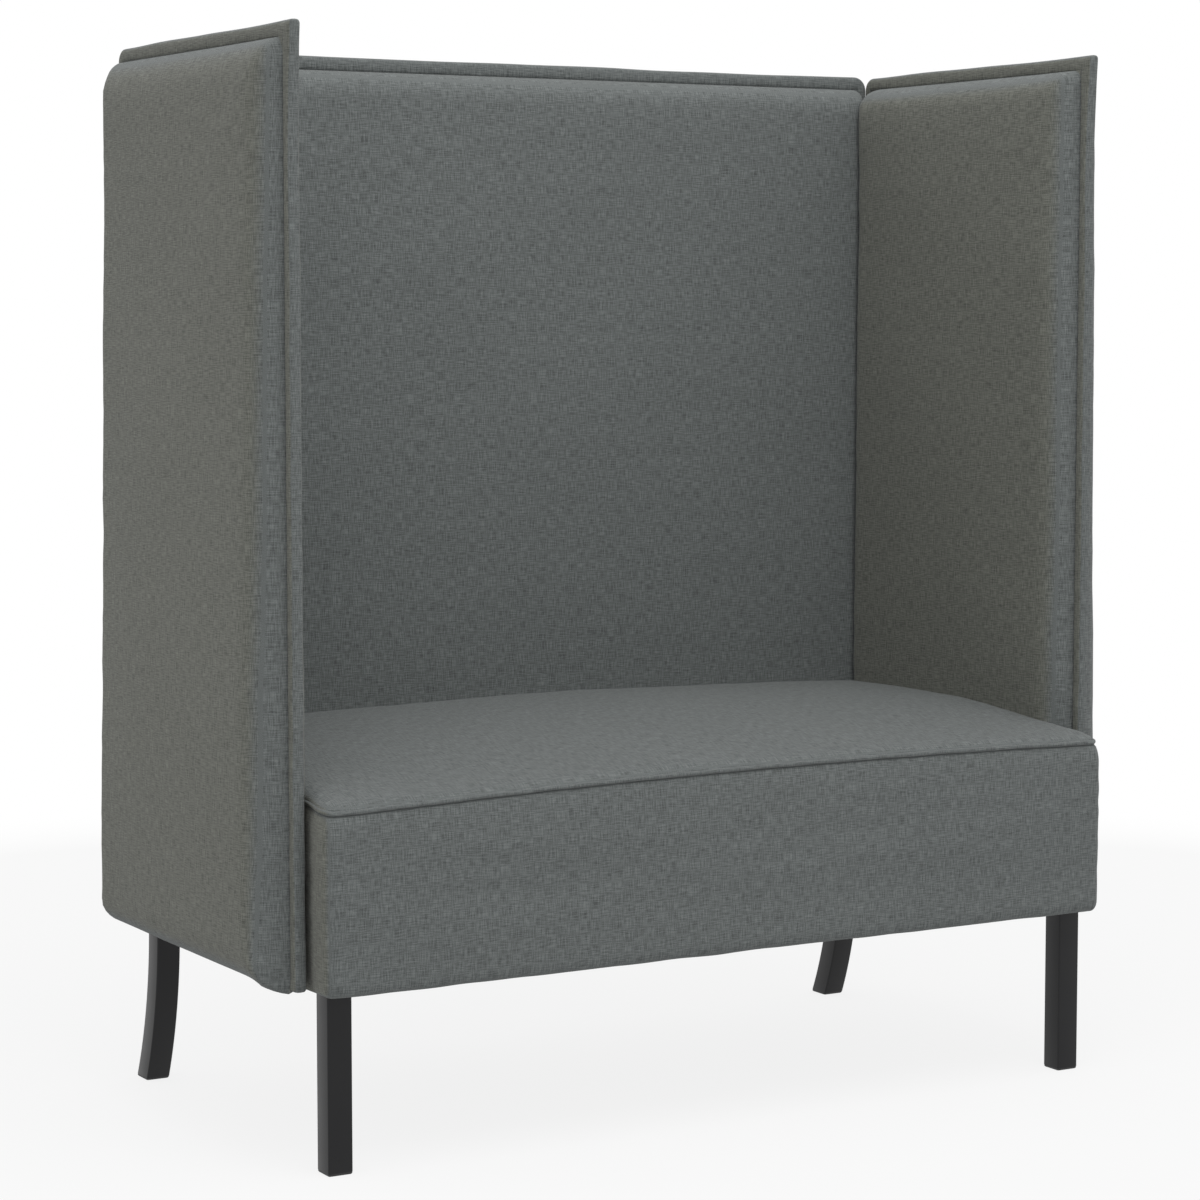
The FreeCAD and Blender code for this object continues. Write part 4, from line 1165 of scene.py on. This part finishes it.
def press_out(pieces):
    """Simulates the covers of all padded pieces together, each held at the points given with it."""
    stage = bpy.context.scene
    for piece, held in pieces:
        seam = piece.vertex_groups.new(name="seam")
        seam.add(held, 1.0, "REPLACE")
        cloth = piece.modifiers.new("press", "CLOTH")
        cloth.point_cache.frame_start = 1
        cloth.point_cache.frame_end = PRESS_FRAMES
        cloth.collision_settings.use_collision = False
        settings = cloth.settings
        settings.quality = 2
        settings.air_damping = 5.0
        settings.vertex_group_mass = "seam"
        settings.effector_weights.gravity = 0.0
        settings.use_pressure = True
        settings.uniform_pressure_force = PRESS_FORCE
    for step in range(1, PRESS_FRAMES + 1):
        stage.frame_set(step)
    settled = bpy.context.evaluated_depsgraph_get()
    for piece, held in pieces:
        pressed = piece.evaluated_get(settled).data.vertices
        moves = [new.co - old.co for new, old in zip(pressed, piece.data.vertices)]
        scale = min(1.0, PRESS_LIMIT / max(move.length for move in moves))
        for point, move in zip(piece.data.vertices, moves):
            point.co += move * scale
    for piece, held in pieces:
        piece.modifiers.remove(piece.modifiers["press"])
        piece.vertex_groups.clear()
    stage.frame_set(1)


press_out(padded)


# Studio: a pale floor that fades to white, an even dome of light and a broad lamp over the front.
# The camera stands in front, to the left and about a metre up.
FLOOR_SIDE = 60.0
FADE_START = 0.7
FADE_END = 2.5
FLOOR_GLOW = 0.85
FLOOR_TONE = (0.62, 0.62, 0.62, 1)
DOME = 0.78
LAMP_POWER = 88.0
LAMP_SIZE = 2.6
LAMP_PLACE = Vector((-0.43, -1.58, 4.24))
LAMP_TARGET = Vector((0, 0, 0.7))
CAMERA_PLACE = (-2.1984, -3.7604, 1.0361)
CAMERA_YAW = 30.04
CAMERA_PITCH = 5.24
CAMERA_LENS = 99.46


def seen(finish):
    """1 for a ray from the camera, off a mirror or through glass, and 0 for any other."""
    rays = finish.node("ShaderNodeLightPath", {}, {}, "Is Camera Ray")
    shown = rays.maths("MAXIMUM", rays, rays.other("Is Glossy Ray"))
    return shown.maths("MAXIMUM", shown, rays.other("Is Transmission Ray"))


pale_floor = Finish("pale_floor")
x, y, z = pale_floor.places()
square = x * x + y * y
far = pale_floor.spread(square.maths("SQRT", square), FADE_START, FADE_END, soft=True)
pale_floor.paint({"Base Color": FLOOR_TONE, "Roughness": 0.9, "Specular IOR Level": 0.0})
white = pale_floor.node("ShaderNodeEmission", {}, {"Color": (1, 1, 1, 1), "Strength": 1.0})
near = far.maths("MAXIMUM", far, FLOOR_GLOW)
mixed = pale_floor.node("ShaderNodeMixShader", {}, {
    0: near * seen(pale_floor), 1: Wire(pale_floor, pale_floor.shader, 0), 2: white,
})
pale_floor.connect(pale_floor.tree.nodes["Material Output"], {"Surface": mixed})
floor_mesh = bpy.data.meshes.new("floor")
half = FLOOR_SIDE / 2
floor_corners = [(-half, -half, 0), (half, -half, 0), (half, half, 0), (-half, half, 0)]
floor_mesh.from_pydata(floor_corners, [], [(0, 1, 2, 3)])
floor_mesh.materials.append(pale_floor.material)
floor = placed("floor", floor_mesh)


class Sky(Finish):
    """The light of the world, in the making."""

    def __init__(self, name):
        world = bpy.data.worlds.new(name)
        bpy.context.scene.world = world
        world.use_nodes = True
        self.tree = world.node_tree
        self.shader = self.tree.nodes["Background"]


sky = Sky("studio")
dome = sky.node("ShaderNodeMapRange", {}, {"Value": seen(sky), "To Min": DOME, "To Max": 1.0})
sky.paint({"Color": (1, 1, 1, 1), "Strength": dome})

light = bpy.data.lights.new("high_lamp", "AREA")
light.shape = "SQUARE"
light.size = LAMP_SIZE
light.energy = LAMP_POWER
lamp = placed("high_lamp", light)
lamp.location = LAMP_PLACE
lamp.rotation_euler = (LAMP_TARGET - LAMP_PLACE).to_track_quat("-Z", "Y").to_euler()

camera_data = bpy.data.cameras.new("camera")
camera_data.lens = CAMERA_LENS
camera_data.sensor_width = 36.0
camera_data.clip_end = 100.0
camera = placed("camera", camera_data)
camera.location = CAMERA_PLACE
camera.rotation_euler = (math.radians(90 - CAMERA_PITCH), 0, math.radians(-CAMERA_YAW))
bpy.context.scene.camera = camera
bpy.context.scene.view_settings.view_transform = "Standard"
